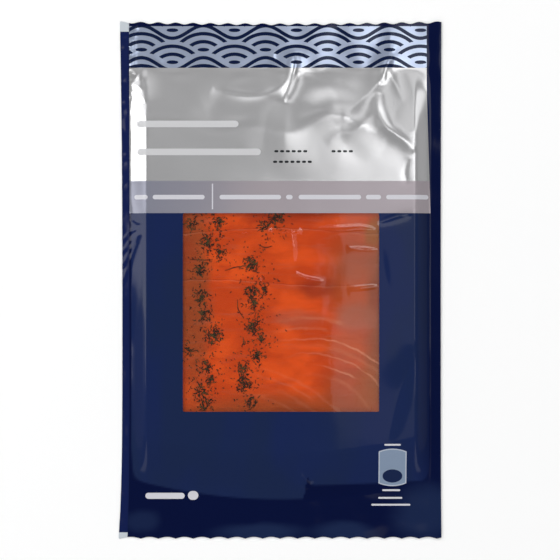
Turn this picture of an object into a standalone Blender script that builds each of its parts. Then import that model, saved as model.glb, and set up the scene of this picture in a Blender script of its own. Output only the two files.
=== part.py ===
"""Pack of sliced smoked salmon with dill: a flat sealed pouch with a clear window, lying on its back.

The units are metres, +Z is up and +Y points to the top of the pack. The origin is under the middle of
the pack, on the surface that it lies on. Two webs of film are cut together with a wavy blade. The back
web is flat and shows a margin on the left. The front web rises over the food and has a window, which a
clear pane of the same film closes. Three slices of salmon lie shingled inside, with dill in two bands.
"""

import math
import random

import bmesh
import bpy

MM = 0.001
GAP = 0.3 * MM

# Outline of the pack, shared by both webs
HALF_LENGTH = 128.0 * MM
RIGHT_EDGE = 79.5 * MM
RIGHT_FLARE = 0.4 * MM
BACK_LEFT_EDGE = -78.0 * MM
BACK_LEFT_FLARE = (1.2 * MM, 1.9 * MM)
FRONT_LEFT_EDGE = -74.4 * MM
FRONT_LEFT_FLARE = (0.3 * MM, 1.1 * MM)
TOP_EDGE_SAG = 1.0 * MM
EDGE_STEPS = 10

# Wavy cut along the top and the bottom
WAVE_PITCH = 8.6 * MM
WAVE_DEPTH = 0.9 * MM
WAVE_STEPS = 4

# Films
BACK_FILM = 0.2 * MM
FRONT_FILM = 0.25 * MM
SEAL_TOP = BACK_FILM + GAP + FRONT_FILM
CUTTER_LOW = -4.0 * MM
CUTTER_HIGH = 14.0 * MM
OVERCUT = 3.0 * MM

# Rise of the front web over the food
LEFT_FOOT = -73.6 * MM
LEFT_RIDGE = -66.0 * MM
RIGHT_RIDGE = 66.9 * MM
RIGHT_FOOT = 73.9 * MM
BOTTOM_FOOT = -109.0 * MM
BOTTOM_FOOT_RISE = 10.0 * MM
BOTTOM_RIDGE = -86.0 * MM
TOP_RIDGE = 79.0 * MM
TOP_FOOT = 105.4 * MM
PLATEAU = 5.3 * MM
CROWN = 0.5 * MM

# Printed fields of the front web
SILVER_TOP = 125.6 * MM
BAND_TOP = 48.9 * MM
BAND_BOTTOM = 33.0 * MM

# Window
WINDOW_LEFT = -47.9 * MM
WINDOW_RIGHT = 48.9 * MM
WINDOW_TOP = 33.0 * MM
WINDOW_BOTTOM = -65.0 * MM
WINDOW_CORNER = 1.2 * MM
CORNER_STEPS = 3

# Slices of salmon, from the lowest in the shingle to the one on top
SLICE_LIPS = (45.0 * MM, 24.0 * MM, -1.5 * MM)
SLICE_END = -84.0 * MM
SLICE_LEFT = -57.0 * MM
SLICE_RIGHT = 58.0 * MM
SLICE_FLOOR = BACK_FILM + GAP
SLICE_TOP = 4.3 * MM
SLICE_FALL = 0.7 * MM
OVERLAP = 12.0 * MM
OVERLAP_FALL = 1.7 * MM
DROP_RUN = 5.0 * MM
LIP_BOW = 1.6 * MM
SIDE_WANDER = 1.3 * MM
SHARP_ANGLE = 24
SURFACE_WAVE = 0.12 * MM
SLICE_COLUMNS = 11
SLICE_ROWS = 9

# Dill
DILL_SEED = 11
DILL_SIDES = 3
DILL_RINGS = 3
DILL_WIDTH = 0.85 * MM
DILL_SHORT = 2.2 * MM
DILL_LONG = 4.6 * MM
DILL_BEND = 0.9
DILL_LIFT = 0.12 * MM
DILL_PER_MM = 1.6
EDGE_MARGIN = 1.6 * MM
# Clumps of dill in millimetres: across, along, radius
DILL_LEFT_BAND = (
    (-44.0, 28.0, 3.0), (-31.0, 29.0, 3.5), (-35.5, 18.0, 4.2), (-29.5, 14.0, 2.4), (-39.0, 4.5, 3.2),
    (-38.5, -8.0, 3.4), (-37.0, -17.5, 3.0), (-33.0, -27.5, 5.0), (-45.0, -35.0, 2.4),
    (-36.0, -42.5, 2.8), (-34.0, -49.0, 2.4), (-39.5, -55.0, 3.0), (-36.5, -61.0, 4.0),
)
DILL_RIGHT_BAND = (
    (-1.5, 30.5, 3.6), (-7.0, 27.0, 2.8), (-14.5, 8.0, 4.6), (-8.0, -5.0, 2.6), (-14.0, -5.5, 3.6),
    (-13.0, -12.0, 2.6), (-13.5, -23.0, 4.4), (-8.5, -28.5, 2.2), (-12.0, -37.5, 2.8),
    (-18.5, -44.0, 2.8), (-18.0, -51.5, 4.2), (-14.0, -59.5, 3.2),
)

NAVY = (0.012, 0.024, 0.085)
SILVER = (0.42, 0.42, 0.44)
BAND_GREY = (0.30, 0.30, 0.36)
CLEAR = (0.92, 0.94, 0.95)
SALMON = (0.60, 0.105, 0.022)
DILL_GREEN = (0.03, 0.04, 0.012)


def clamp(value, low=0.0, high=1.0):
    """Keeps a value between two limits."""
    return max(low, min(high, value))


def mix(a, b, share):
    """Point at a share of the way from a to b."""
    return a + (b - a) * share


def span(start, end, steps):
    """Evenly spaced values from start up to, but without, end."""
    return [mix(start, end, i / steps) for i in range(steps)]


def start_empty():
    """Removes the objects that the scene opens with."""
    for old in list(bpy.data.objects):
        bpy.data.objects.remove(old, do_unlink=True)


def finish(name, color, roughness, metallic=0.0, alpha=1.0):
    """A Principled material with one colour."""
    material = bpy.data.materials.new(name)
    material.use_nodes = True
    shader = material.node_tree.nodes["Principled BSDF"]
    shader.inputs["Base Color"].default_value = (*color, 1.0)
    shader.inputs["Roughness"].default_value = roughness
    shader.inputs["Metallic"].default_value = metallic
    shader.inputs["Alpha"].default_value = alpha
    return material


def add_object(name, bm, materials, collection=None):
    """Turns a bmesh into a named object with its materials."""
    mesh = bpy.data.meshes.new(name)
    bm.normal_update()
    bm.to_mesh(mesh)
    bm.free()
    obj = bpy.data.objects.new(name, mesh)
    for material in materials:
        mesh.materials.append(material)
    (collection or bpy.context.scene.collection).objects.link(obj)
    return obj


def prism(outline, low, high):
    """A closed upright prism over an outline that runs anticlockwise."""
    bm = bmesh.new()
    base = bm.faces.new([bm.verts.new((x, y, low)) for x, y in outline])
    base.normal_flip()
    raised = bmesh.ops.extrude_face_region(bm, geom=[base], use_keep_orig=True)
    for vert in [g for g in raised["geom"] if isinstance(g, bmesh.types.BMVert)]:
        vert.co.z = high
    bmesh.ops.recalc_face_normals(bm, faces=bm.faces)
    return bm


def add_cutter(name, outline):
    """A tall prism that cuts the films and isn't part of the pack."""
    cutter = add_object(name, prism(outline, CUTTER_LOW, CUTTER_HIGH), [])
    cutter.hide_render = True
    cutter.display_type = "WIRE"
    return cutter


def add_boolean(obj, cutter, operation):
    """Cuts an object by another, exactly."""
    boolean = obj.modifiers.new(operation.lower(), "BOOLEAN")
    boolean.operation = operation
    boolean.object = cutter
    boolean.solver = "EXACT"


def flared(edge, flare_top, flare_bottom, y):
    """Place of a side edge that spreads a little towards both ends."""
    share = y / HALF_LENGTH
    if share > 0:
        return edge + flare_top * share**2
    return edge + flare_bottom * abs(share) ** 5


def top_cut(x):
    """Height of the top edge: round waves on a line that sags in the middle."""
    base = HALF_LENGTH - WAVE_DEPTH / 2 - TOP_EDGE_SAG * (1 - (x / RIGHT_EDGE) ** 2)
    return base + WAVE_DEPTH / 2 * math.cos(2 * math.pi * x / WAVE_PITCH)


def bottom_cut(x):
    """Height of the bottom edge: arches between points that face down."""
    return -HALF_LENGTH + WAVE_DEPTH * abs(math.sin(math.pi * x / WAVE_PITCH))


def cut_places(left, right):
    """Places across the web where the wavy cut has a point."""
    step = WAVE_PITCH / WAVE_STEPS
    first = math.ceil(left / step + 0.2)
    last = math.floor(right / step - 0.2)
    return [left] + [i * step for i in range(first, last + 1)] + [right]


def web_outline(left_edge, left_flare):
    """Outline of a web, anticlockwise from its bottom left corner."""
    corners = {}
    for name, y in (("top", HALF_LENGTH), ("bottom", -HALF_LENGTH)):
        left = flared(left_edge, -left_flare[0], -left_flare[1], y)
        corners[name] = (left, flared(RIGHT_EDGE, RIGHT_FLARE, RIGHT_FLARE, y))
    rise = span(-HALF_LENGTH, HALF_LENGTH, EDGE_STEPS)[1:]
    outline = [(x, bottom_cut(x)) for x in cut_places(*corners["bottom"])]
    outline += [(flared(RIGHT_EDGE, RIGHT_FLARE, RIGHT_FLARE, y), y) for y in rise]
    outline += [(x, top_cut(x)) for x in reversed(cut_places(*corners["top"]))]
    outline += [(flared(left_edge, -left_flare[0], -left_flare[1], y), y) for y in reversed(rise)]
    return outline


def window_outline(inset):
    """Outline of the window with round corners, drawn in by inset."""
    low = (WINDOW_LEFT + inset, WINDOW_BOTTOM + inset)
    high = (WINDOW_RIGHT - inset, WINDOW_TOP - inset)
    centres = (
        (high[0] - WINDOW_CORNER, high[1] - WINDOW_CORNER),
        (low[0] + WINDOW_CORNER, high[1] - WINDOW_CORNER),
        (low[0] + WINDOW_CORNER, low[1] + WINDOW_CORNER),
        (high[0] - WINDOW_CORNER, low[1] + WINDOW_CORNER),
    )
    outline = []
    for quarter, (cx, cy) in enumerate(centres):
        for i in range(CORNER_STEPS + 1):
            angle = math.radians(90 * (quarter + i / CORNER_STEPS))
            outline.append((cx + WINDOW_CORNER * math.cos(angle), cy + WINDOW_CORNER * math.sin(angle)))
    return outline


def ease(share):
    """Rise from 0 to 1 that is nearly straight, with short soft ends."""
    t = clamp(share)
    return 0.6 * t + 0.4 * t * t * (3 - 2 * t)


def front_height(x, y):
    """Height of the front web's upper face."""
    bow = 1 - clamp(1 - (x / RIGHT_FOOT) ** 2)
    foot = BOTTOM_FOOT + BOTTOM_FOOT_RISE * bow
    side = ease((x - LEFT_FOOT) / (LEFT_RIDGE - LEFT_FOOT)) * ease((RIGHT_FOOT - x) / (RIGHT_FOOT - RIGHT_RIDGE))
    end = ease((y - foot) / (BOTTOM_RIDGE - BOTTOM_FOOT)) * ease((TOP_FOOT - y) / (TOP_FOOT - TOP_RIDGE))
    crown = CROWN * clamp(1 - (x / RIGHT_RIDGE) ** 2) * clamp(1 - (y / TOP_RIDGE) ** 2)
    return SEAL_TOP + (PLATEAU + crown - SEAL_TOP) * side * end


def front_field(y):
    """Index of the printed field at a height on the front web."""
    if BAND_BOTTOM < y < BAND_TOP:
        return 2
    if BAND_TOP < y < SILVER_TOP:
        return 1
    return 0


def front_sheet(name, materials):
    """The front web before it is cut: one sheet that rises over the food."""
    xs = [FRONT_LEFT_EDGE - OVERCUT]
    xs += span(LEFT_FOOT, LEFT_RIDGE, 4)
    xs += span(LEFT_RIDGE, RIGHT_RIDGE, 12)
    xs += span(RIGHT_RIDGE, RIGHT_FOOT, 4)
    xs += [RIGHT_FOOT, RIGHT_EDGE + OVERCUT]
    ys = [-HALF_LENGTH - OVERCUT]
    ys += span(BOTTOM_FOOT, BOTTOM_RIDGE, 7)
    ys += span(BOTTOM_RIDGE, BAND_BOTTOM, 9)
    ys += span(BAND_BOTTOM, BAND_TOP, 2)
    ys += span(BAND_TOP, TOP_RIDGE, 3)
    ys += span(TOP_RIDGE, TOP_FOOT, 4)
    ys += [TOP_FOOT, SILVER_TOP, HALF_LENGTH + OVERCUT]
    bm = bmesh.new()
    rows = [[bm.verts.new((x, y, front_height(x, y))) for x in xs] for y in ys]
    for lower, upper in zip(rows, rows[1:]):
        for i in range(len(xs) - 1):
            face = bm.faces.new((lower[i], lower[i + 1], upper[i + 1], upper[i]))
            face.smooth = True
            centre = face.calc_center_median()
            if len(materials) > 1 and centre.x < RIGHT_FOOT:
                face.material_index = front_field(centre.y)
    sheet = add_object(name, bm, materials)
    wall = sheet.modifiers.new("film", "SOLIDIFY")
    wall.thickness = FRONT_FILM
    wall.offset = -1.0
    return sheet


def add_films():
    """The back web, the front web with its window cut out, and the clear pane."""
    navy = finish("navy_print", NAVY, 0.3)
    back_navy = finish("back_navy_print", NAVY, 0.35)
    silver = finish("silver_print", SILVER, 0.3, metallic=0.7)
    band = finish("grey_print", BAND_GREY, 0.35, metallic=0.4)
    clear = finish("clear_film", CLEAR, 0.06, alpha=0.25)

    back = web_outline(BACK_LEFT_EDGE, BACK_LEFT_FLARE)
    add_object("back_film", prism(back, 0.0, BACK_FILM), [back_navy])

    web_cutter = add_cutter("web_cutter", web_outline(FRONT_LEFT_EDGE, FRONT_LEFT_FLARE))
    window_cutter = add_cutter("window_cutter", window_outline(0.0))
    pane_cutter = add_cutter("pane_cutter", window_outline(GAP))

    front = front_sheet("front_film", [navy, silver, band])
    add_boolean(front, web_cutter, "INTERSECT")
    add_boolean(front, window_cutter, "DIFFERENCE")

    pane = front_sheet("window_film", [clear])
    add_boolean(pane, pane_cutter, "INTERSECT")


def lip(index, x):
    """Place of a slice's upper edge, which bows a little across the pack."""
    sway = math.sin(x * math.pi / SLICE_RIGHT + 1.7 * index)
    return SLICE_LIPS[index] + LIP_BOW * sway


def slice_end(index, x):
    """Place of a slice's lower edge."""
    if index + 1 < len(SLICE_LIPS):
        return lip(index + 1, x) - OVERLAP + 2 * GAP
    return SLICE_END + LIP_BOW * math.cos(x * math.pi / SLICE_RIGHT)


def slice_side(edge, y):
    """Place of a slice's side edge, which wanders along the pack."""
    wander = math.sin(y / (7.5 * MM) + edge / (9 * MM)) + 0.6 * math.sin(y / (17 * MM) + edge / (31 * MM))
    return edge + SIDE_WANDER * wander


def slice_top(index, x, y):
    """Upper face of a slice: highest at its lip, lower where the next slice covers it."""
    below_lip = (lip(index, x) - y) / (SLICE_LIPS[0] - SLICE_LIPS[1])
    height = SLICE_TOP - SLICE_FALL * clamp(below_lip)
    if index + 1 < len(SLICE_LIPS):
        height -= OVERLAP_FALL * clamp((lip(index + 1, x) - y) / OVERLAP)
    ripple = math.sin(x / (8.5 * MM)) * math.cos(y / (6.5 * MM) + x / (21 * MM))
    return height + SURFACE_WAVE * ripple


def slice_bottom(index, x, y):
    """Lower face of a slice: on the slice below it first, and then down on the back web."""
    if index == 0:
        return SLICE_FLOOR
    carried = slice_top(index - 1, x, y) + GAP
    down = clamp((lip(index, x) - y - OVERLAP) / DROP_RUN)
    return mix(carried, SLICE_FLOOR, down)


def slice_body(index):
    """One slice as a closed bmesh, with an upper and a lower face grid joined round the rim."""
    bm = bmesh.new()
    grids = []
    for height in (slice_top, slice_bottom):
        grid = []
        for row in range(SLICE_ROWS + 1):
            line = []
            for column in range(SLICE_COLUMNS + 1):
                across = mix(SLICE_LEFT, SLICE_RIGHT, column / SLICE_COLUMNS)
                y = mix(lip(index, across), slice_end(index, across), row / SLICE_ROWS)
                left, right = slice_side(SLICE_LEFT, y), slice_side(SLICE_RIGHT, y)
                x = mix(left, right, column / SLICE_COLUMNS)
                line.append(bm.verts.new((x, y, height(index, x, y))))
            grid.append(line)
        grids.append(grid)
    for grid in grids:
        for upper, lower in zip(grid, grid[1:]):
            for i in range(SLICE_COLUMNS):
                bm.faces.new((upper[i], upper[i + 1], lower[i + 1], lower[i]))
    rims = []
    for grid in grids:
        rim = grid[0][:-1] + [line[-1] for line in grid[:-1]]
        rim += grid[-1][:0:-1] + [line[0] for line in reversed(grid[1:])]
        rims.append(rim)
    for i in range(len(rims[0])):
        j = (i + 1) % len(rims[0])
        bm.faces.new((rims[0][i], rims[0][j], rims[1][j], rims[1][i]))
    bmesh.ops.recalc_face_normals(bm, faces=bm.faces)
    return bm


def slice_under(x, y):
    """Index of the slice that shows at a place."""
    shown = [i for i in range(len(SLICE_LIPS)) if y < lip(i, x)]
    return shown[-1] if shown else 0


def needle_path(rng, x, y, reach):
    """Places along one curved needle of dill that starts near a clump's middle."""
    heading = rng.uniform(0, 2 * math.pi)
    away = reach * MM * rng.uniform(0.1, 0.9)
    x += away * math.cos(heading)
    y += away * math.sin(heading)
    heading += rng.uniform(-1.1, 1.1)
    length = rng.uniform(DILL_SHORT, DILL_LONG)
    bend = rng.uniform(-DILL_BEND, DILL_BEND)
    path = []
    for i in range(DILL_RINGS + 2):
        path.append((x, y))
        turned = heading + bend * i / (DILL_RINGS + 1)
        x += length / (DILL_RINGS + 1) * math.cos(turned)
        y += length / (DILL_RINGS + 1) * math.sin(turned)
    return path


def fits_slice(path):
    """The slice that carries the whole needle, or None where it would cross an edge."""
    index = slice_under(*path[0])
    for x, y in path:
        if not y < lip(index, x) - EDGE_MARGIN:
            return None
        if index + 1 < len(SLICE_LIPS) and not y > lip(index + 1, x) + EDGE_MARGIN:
            return None
    return index


def needle_body(index, path):
    """A tapered needle with pointed ends, half sunk in the slice's upper face."""
    bm = bmesh.new()
    rings = []
    heading = math.atan2(path[-1][1] - path[0][1], path[-1][0] - path[0][0])
    across = (-math.sin(heading), math.cos(heading))
    for x, y in path[1:-1]:
        z = slice_top(index, x, y) + DILL_LIFT
        ring = []
        for side in range(DILL_SIDES):
            angle = math.radians(90 + 360 * side / DILL_SIDES)
            out = DILL_WIDTH / 2 * math.cos(angle)
            up = DILL_WIDTH / 2 * math.sin(angle)
            ring.append(bm.verts.new((x + out * across[0], y + out * across[1], z + up)))
        rings.append(ring)
    ends = []
    for x, y in (path[0], path[-1]):
        ends.append(bm.verts.new((x, y, slice_top(index, x, y) + DILL_LIFT)))
    for side in range(DILL_SIDES):
        following = (side + 1) % DILL_SIDES
        for near, far in zip(rings, rings[1:]):
            bm.faces.new((near[side], near[following], far[following], far[side]))
        bm.faces.new((ends[0], rings[0][following], rings[0][side]))
        bm.faces.new((ends[1], rings[-1][side], rings[-1][following]))
    bmesh.ops.recalc_face_normals(bm, faces=bm.faces)
    for face in bm.faces:
        face.material_index = 1
    return bm


def add_dill(collections, materials):
    """Needles of dill in clumps along both bands, sorted by the slice that carries them."""
    rng = random.Random(DILL_SEED)
    for x, y, radius in DILL_LEFT_BAND + DILL_RIGHT_BAND:
        for _ in range(round(radius * DILL_PER_MM)):
            path = needle_path(rng, x * MM, y * MM, radius)
            index = fits_slice(path)
            if index is not None:
                add_object("dill", needle_body(index, path), materials, collections[index])


def fuse(body, collection):
    """Joins every object of a collection to the body, for good."""
    union = body.modifiers.new("union", "BOOLEAN")
    union.operation = "UNION"
    union.operand_type = "COLLECTION"
    union.collection = collection
    union.solver = "MANIFOLD"
    depsgraph = bpy.context.evaluated_depsgraph_get()
    fused = bpy.data.meshes.new_from_object(body.evaluated_get(depsgraph))
    fused.shade_smooth()
    fused.set_sharp_from_angle(angle=math.radians(SHARP_ANGLE))
    body.modifiers.clear()
    body.data = fused
    for piece in list(collection.objects):
        bpy.data.objects.remove(piece, do_unlink=True)
    bpy.data.collections.remove(collection)


def add_salmon():
    """Three shingled slices, each with its dill fused on."""
    materials = [finish("salmon", SALMON, 0.3), finish("dill", DILL_GREEN, 0.6)]
    slices = []
    collections = []
    for index in range(len(SLICE_LIPS)):
        slices.append(add_object(f"salmon_slice_{index + 1}", slice_body(index), materials))
        collection = bpy.data.collections.new(f"dill_{index + 1}")
        bpy.context.scene.collection.children.link(collection)
        collections.append(collection)
    add_dill(collections, materials)
    for body, collection in zip(slices, collections):
        fuse(body, collection)


def main():
    """Builds the pack."""
    start_empty()
    add_films()
    add_salmon()


main()
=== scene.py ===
"""Looks of a flat pack of sliced smoked salmon with dill, seen from above.

The pack is made of two webs of film that are sealed together: a plain navy back web and a printed front
web with a clear window. The front web's folds come from one height function, which the printed web and
the clear pane share, so that they meet at the window's edge. Three shingled slices and their dill lie
inside. Lengths in the classes are millimetres; meshes are metres.
"""

import logging
import math
import random
from collections.abc import Iterable, Sequence
from dataclasses import dataclass
from enum import Enum
from functools import reduce

import bpy
import numpy as np
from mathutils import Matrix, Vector


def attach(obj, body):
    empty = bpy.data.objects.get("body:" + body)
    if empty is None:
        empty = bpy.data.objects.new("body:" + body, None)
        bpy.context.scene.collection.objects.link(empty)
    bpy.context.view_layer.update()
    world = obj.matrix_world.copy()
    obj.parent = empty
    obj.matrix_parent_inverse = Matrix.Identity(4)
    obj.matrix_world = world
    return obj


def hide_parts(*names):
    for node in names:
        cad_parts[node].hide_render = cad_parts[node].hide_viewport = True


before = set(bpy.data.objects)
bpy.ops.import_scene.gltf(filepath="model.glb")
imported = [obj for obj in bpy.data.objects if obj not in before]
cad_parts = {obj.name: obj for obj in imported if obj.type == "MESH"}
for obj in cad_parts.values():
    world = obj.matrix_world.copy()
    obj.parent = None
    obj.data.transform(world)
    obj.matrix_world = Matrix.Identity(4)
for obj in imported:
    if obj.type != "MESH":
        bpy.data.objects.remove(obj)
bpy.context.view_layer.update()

LOG = logging.getLogger("salmon_pack")
MM = 0.001
BODY = "root"
SHARP_ANGLE = math.radians(50)

Triple = tuple[float, float, float]
Color = Triple
Point = tuple[float, float]
Span = tuple[float, float]
Paint = Color | bpy.types.NodeSocket


def clamp(value: np.ndarray, low: float = 0.0, high: float = 1.0) -> np.ndarray:
    """Keeps values between two limits.

    Args:
        value: Values to limit.
        low: Lower limit.
        high: Upper limit.

    Returns:
        The limited values.
    """
    return np.minimum(np.maximum(value, low), high)


def smooth(share: np.ndarray) -> np.ndarray:
    """Soft step from 0 to 1.

    Args:
        share: Values, where 0 to 1 is the step.

    Returns:
        The eased values.
    """
    t = clamp(share)
    return t * t * (3 - 2 * t)


def ease(share: np.ndarray, straight: float = 0.6) -> np.ndarray:
    """Nearly straight rise from 0 to 1 with short soft ends.

    Args:
        share: Values, where 0 to 1 is the rise.
        straight: How straight the rise is, from 0 to 1.

    Returns:
        The eased values.
    """
    return straight * clamp(share) + (1 - straight) * smooth(share)


class Undulation:
    """Seeded field of soft waves that cross each other, with values of about -1 to 1."""

    def __init__(
        self, seed: int, shortest: float, longest: float, stretch: float = 1.0, count: int = 18,
    ) -> None:
        """Draws the waves.

        Args:
            seed: Start of the random draw.
            shortest: Shortest wave, in millimetres.
            longest: Longest wave, in millimetres.
            stretch: How much longer the waves are along the pack than across it.
            count: Number of waves.
        """
        rng = np.random.default_rng(seed)
        heading = rng.uniform(0, np.pi, count)
        length = np.exp(rng.uniform(math.log(shortest), math.log(longest), count))
        self.turns_x = 2 * np.pi * np.cos(heading) / length
        self.turns_y = 2 * np.pi * np.sin(heading) / (length * stretch)
        self.phase = rng.uniform(0, 2 * np.pi, count)
        self.weight = length / math.sqrt(float(np.sum(length**2)) / 2)

    def at(self, x: np.ndarray, y: np.ndarray) -> np.ndarray:
        """Reads the field.

        Args:
            x: Places across.
            y: Places along.

        Returns:
            The values.
        """
        total = np.zeros(x.shape)
        for a, b, start, weight in zip(self.turns_x, self.turns_y, self.phase, self.weight):
            total += weight * np.sin(a * x + b * y + start)
        return total

    def creased(self, x: np.ndarray, y: np.ndarray, softness: float = 0.06) -> np.ndarray:
        """Reads the field folded at zero, which leaves creases between smooth facets.

        Args:
            x: Places across.
            y: Places along.
            softness: How round the creases are.

        Returns:
            Values from 0 up.
        """
        return np.sqrt(self.at(x, y) ** 2 + softness**2)


class Crest(Enum):
    """How the top of a fold is shaped; the value is the power in its profile."""

    SHARP = 1.0
    FIRM = 1.4


class Fade(Enum):
    """How a fold dies out: the part of its line that stays highest, and the power of the fading."""

    BOTH = ("middle", 0.5)
    SOFT = ("middle", 1.5)
    END = ("start", 0.8)
    START = ("end", 0.8)


@dataclass(frozen=True)
class Fold:
    """A ridge or a dent that the film takes along a line.

    Attributes:
        line: Points that the fold runs through, in millimetres.
        height: Height of its crest, negative for a dent.
        width: Distance from the crest in which it falls away, on the left of the line.
        lean: Width on the right of the line as a share of the left one.
        crest: Shape of the crest.
        fade: How it dies out.
        steps: Straight pieces of its curve between two points.
    """

    line: tuple[Point, ...]
    height: float
    width: float
    lean: float = 1.0
    crest: Crest = Crest.FIRM
    fade: Fade = Fade.BOTH
    steps: int = 6

    def lift(self, x: np.ndarray, y: np.ndarray) -> np.ndarray:
        """Works out how far the fold lifts the film.

        Args:
            x: Places across.
            y: Places along.

        Returns:
            The lift at each place.
        """
        points = curve_through(self.line, self.steps)
        pieces = np.linalg.norm(np.diff(points, axis=0), axis=1)
        before = np.concatenate([[0.0], np.cumsum(pieces)])
        nearest = np.full(x.shape, np.inf)
        share = np.zeros(x.shape)
        side = np.zeros(x.shape)
        for k, length in enumerate(pieces):
            ax, ay = points[k]
            dx, dy = (points[k + 1] - points[k]) / length
            along = clamp((x - ax) * dx + (y - ay) * dy, 0.0, length)
            gap_x, gap_y = x - ax - along * dx, y - ay - along * dy
            distance = np.hypot(gap_x, gap_y)
            closer = distance < nearest
            nearest = np.where(closer, distance, nearest)
            share = np.where(closer, (before[k] + along) / before[-1], share)
            side = np.where(closer, dx * gap_y - dy * gap_x, side)
        width = np.where(side > 0, self.width, self.width * self.lean)
        return self.height * self.fading(share) * np.exp(-((nearest / width) ** self.crest.value))

    def fading(self, share: np.ndarray) -> np.ndarray:
        """Strength of the fold along its line.

        Args:
            share: Share of the line's length.

        Returns:
            The strength from 0 to 1.
        """
        highest, power = self.fade.value
        if highest == "middle":
            strength = 1 - (2 * share - 1) ** 2
        else:
            strength = 1 - share if highest == "start" else share
        return clamp(strength) ** power


def curve_through(points: Sequence[Point], steps: int) -> np.ndarray:
    """A smooth curve that runs through all the points given.

    Args:
        points: Points that the curve runs through.
        steps: Pieces between two points.

    Returns:
        The curve's points as rows.
    """
    given = np.array(points, float)
    if len(given) == 2:
        return given
    padded = np.vstack([2 * given[0] - given[1], given, 2 * given[-1] - given[-2]])
    curve = []
    for k in range(len(given) - 1):
        p0, p1, p2, p3 = padded[k:k + 4]
        for i in range(steps):
            t = i / steps
            bend = (2 * p0 - 5 * p1 + 4 * p2 - p3) * t**2 + (3 * p1 - p0 - 3 * p2 + p3) * t**3
            curve.append(0.5 * (2 * p1 + (p2 - p0) * t + bend))
    curve.append(given[-1])
    return np.array(curve)


@dataclass(frozen=True)
class Outline:
    """Cut outline of the pack's webs."""

    half_length: float = 128.0
    right: float = 79.5
    right_flare: float = 0.4
    top_sag: float = 1.0
    wave_pitch: float = 8.6
    wave_depth: float = 0.9

    def top(self, x: np.ndarray) -> np.ndarray:
        """Place of the wavy top edge.

        Args:
            x: Places across.

        Returns:
            The edge's height at each place.
        """
        base = self.half_length - self.wave_depth / 2 - self.top_sag * (1 - (x / self.right) ** 2)
        return base + self.wave_depth / 2 * np.cos(2 * np.pi * x / self.wave_pitch)

    def bottom(self, x: np.ndarray) -> np.ndarray:
        """Place of the arched bottom edge.

        Args:
            x: Places across.

        Returns:
            The edge's height at each place.
        """
        return -self.half_length + self.wave_depth * np.abs(np.sin(np.pi * x / self.wave_pitch))

    def side(self, edge: float, top_flare: float, bottom_flare: float, y: np.ndarray) -> np.ndarray:
        """Place of a side edge that spreads towards both ends.

        Args:
            edge: Place of the edge in the middle of the pack.
            top_flare: Spread at the top.
            bottom_flare: Spread at the bottom.
            y: Places along.

        Returns:
            The edge's place at each height.
        """
        share = y / self.half_length
        return edge + np.where(share > 0, top_flare * share**2, bottom_flare * np.abs(share) ** 5)


@dataclass(frozen=True)
class Window:
    """The clear window in the front web."""

    left: float = -47.9
    right: float = 48.9
    top: float = 33.0
    bottom: float = -65.0
    corner: float = 0.2


def snapped(lines: np.ndarray, places: Sequence[float]) -> np.ndarray:
    """Moves the nearest grid line onto each given place.

    Args:
        lines: Grid lines in rising order.
        places: Places that need a line.

    Returns:
        The moved lines.
    """
    moved = lines.copy()
    for place in places:
        moved[np.abs(moved - place).argmin()] = place
    return moved


@dataclass(frozen=True)
class WebGrid:
    """Grid of points over a web, bent to the web's outline.

    Attributes:
        outline: Outline of the web.
        window: Window that grid lines run along.
        left: Place of the web's left edge.
        left_flare: Spread of the left edge at the top and at the bottom.
        step: Distance between two columns.
        row_step: Distance between two rows.
        side_reach: How far in from a side edge the grid bends.
        cut_reach: How far in from a cut end the grid bends.
        clearance: Least distance of an inner line from the edge, as a share of a step.
    """

    outline: Outline
    window: Window
    left: float
    left_flare: tuple[float, float]
    step: float = 0.86
    row_step: float = 0.86
    side_reach: float = 7.0
    cut_reach: float = 3.5
    clearance: float = 0.3

    def lines(self, low: float, high: float, step: float, places: Sequence[float]) -> np.ndarray:
        """Grid lines at whole steps between two edges, with lines on given places.

        Args:
            low: First line.
            high: Last line.
            step: Distance between two lines.
            places: Places that need a line.

        Returns:
            The lines in rising order.
        """
        first, last = math.ceil(low / step + self.clearance), math.floor(high / step - self.clearance)
        inner = np.arange(first, last + 1) * step
        return snapped(np.concatenate([[low], inner, [high]]), places)

    def points(self) -> tuple[np.ndarray, np.ndarray, np.ndarray, np.ndarray]:
        """Makes the grid.

        Returns:
            The straight grid's x and y, and the bent grid's x and y.
        """
        top = self.outline.half_length - self.outline.top_sag
        bottom = -self.outline.half_length + self.outline.wave_depth / 2
        xs = self.lines(self.left, self.outline.right, self.step, (self.window.left, self.window.right))
        ys = self.lines(bottom, top, self.row_step, (self.window.bottom, self.window.top))
        u, v = np.meshgrid(xs, ys)
        near_top = smooth(1 - (top - v) / self.cut_reach)
        near_bottom = smooth(1 - (v - bottom) / self.cut_reach)
        y = v + (self.outline.top(u) - top) * near_top + (self.outline.bottom(u) - bottom) * near_bottom
        left = self.outline.side(self.left, -self.left_flare[0], -self.left_flare[1], v) - self.left
        flare = self.outline.right_flare
        right = self.outline.side(self.outline.right, flare, flare, v) - self.outline.right
        x = u + left * smooth(1 - (u - self.left) / self.side_reach)
        x = x + right * smooth(1 - (self.outline.right - u) / self.side_reach)
        return u, v, x, y

    def in_window(self, u: np.ndarray, v: np.ndarray) -> np.ndarray:
        """Finds the grid's cells that lie in the window.

        Args:
            u: Straight grid's x.
            v: Straight grid's y.

        Returns:
            True for each cell in the window.
        """
        middle_x = (u[:-1, :-1] + u[:-1, 1:]) / 2
        middle_y = (v[:-1, :-1] + v[1:, :-1]) / 2
        across = (middle_x > self.window.left) & (middle_x < self.window.right)
        return across & (middle_y > self.window.bottom) & (middle_y < self.window.top)


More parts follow.
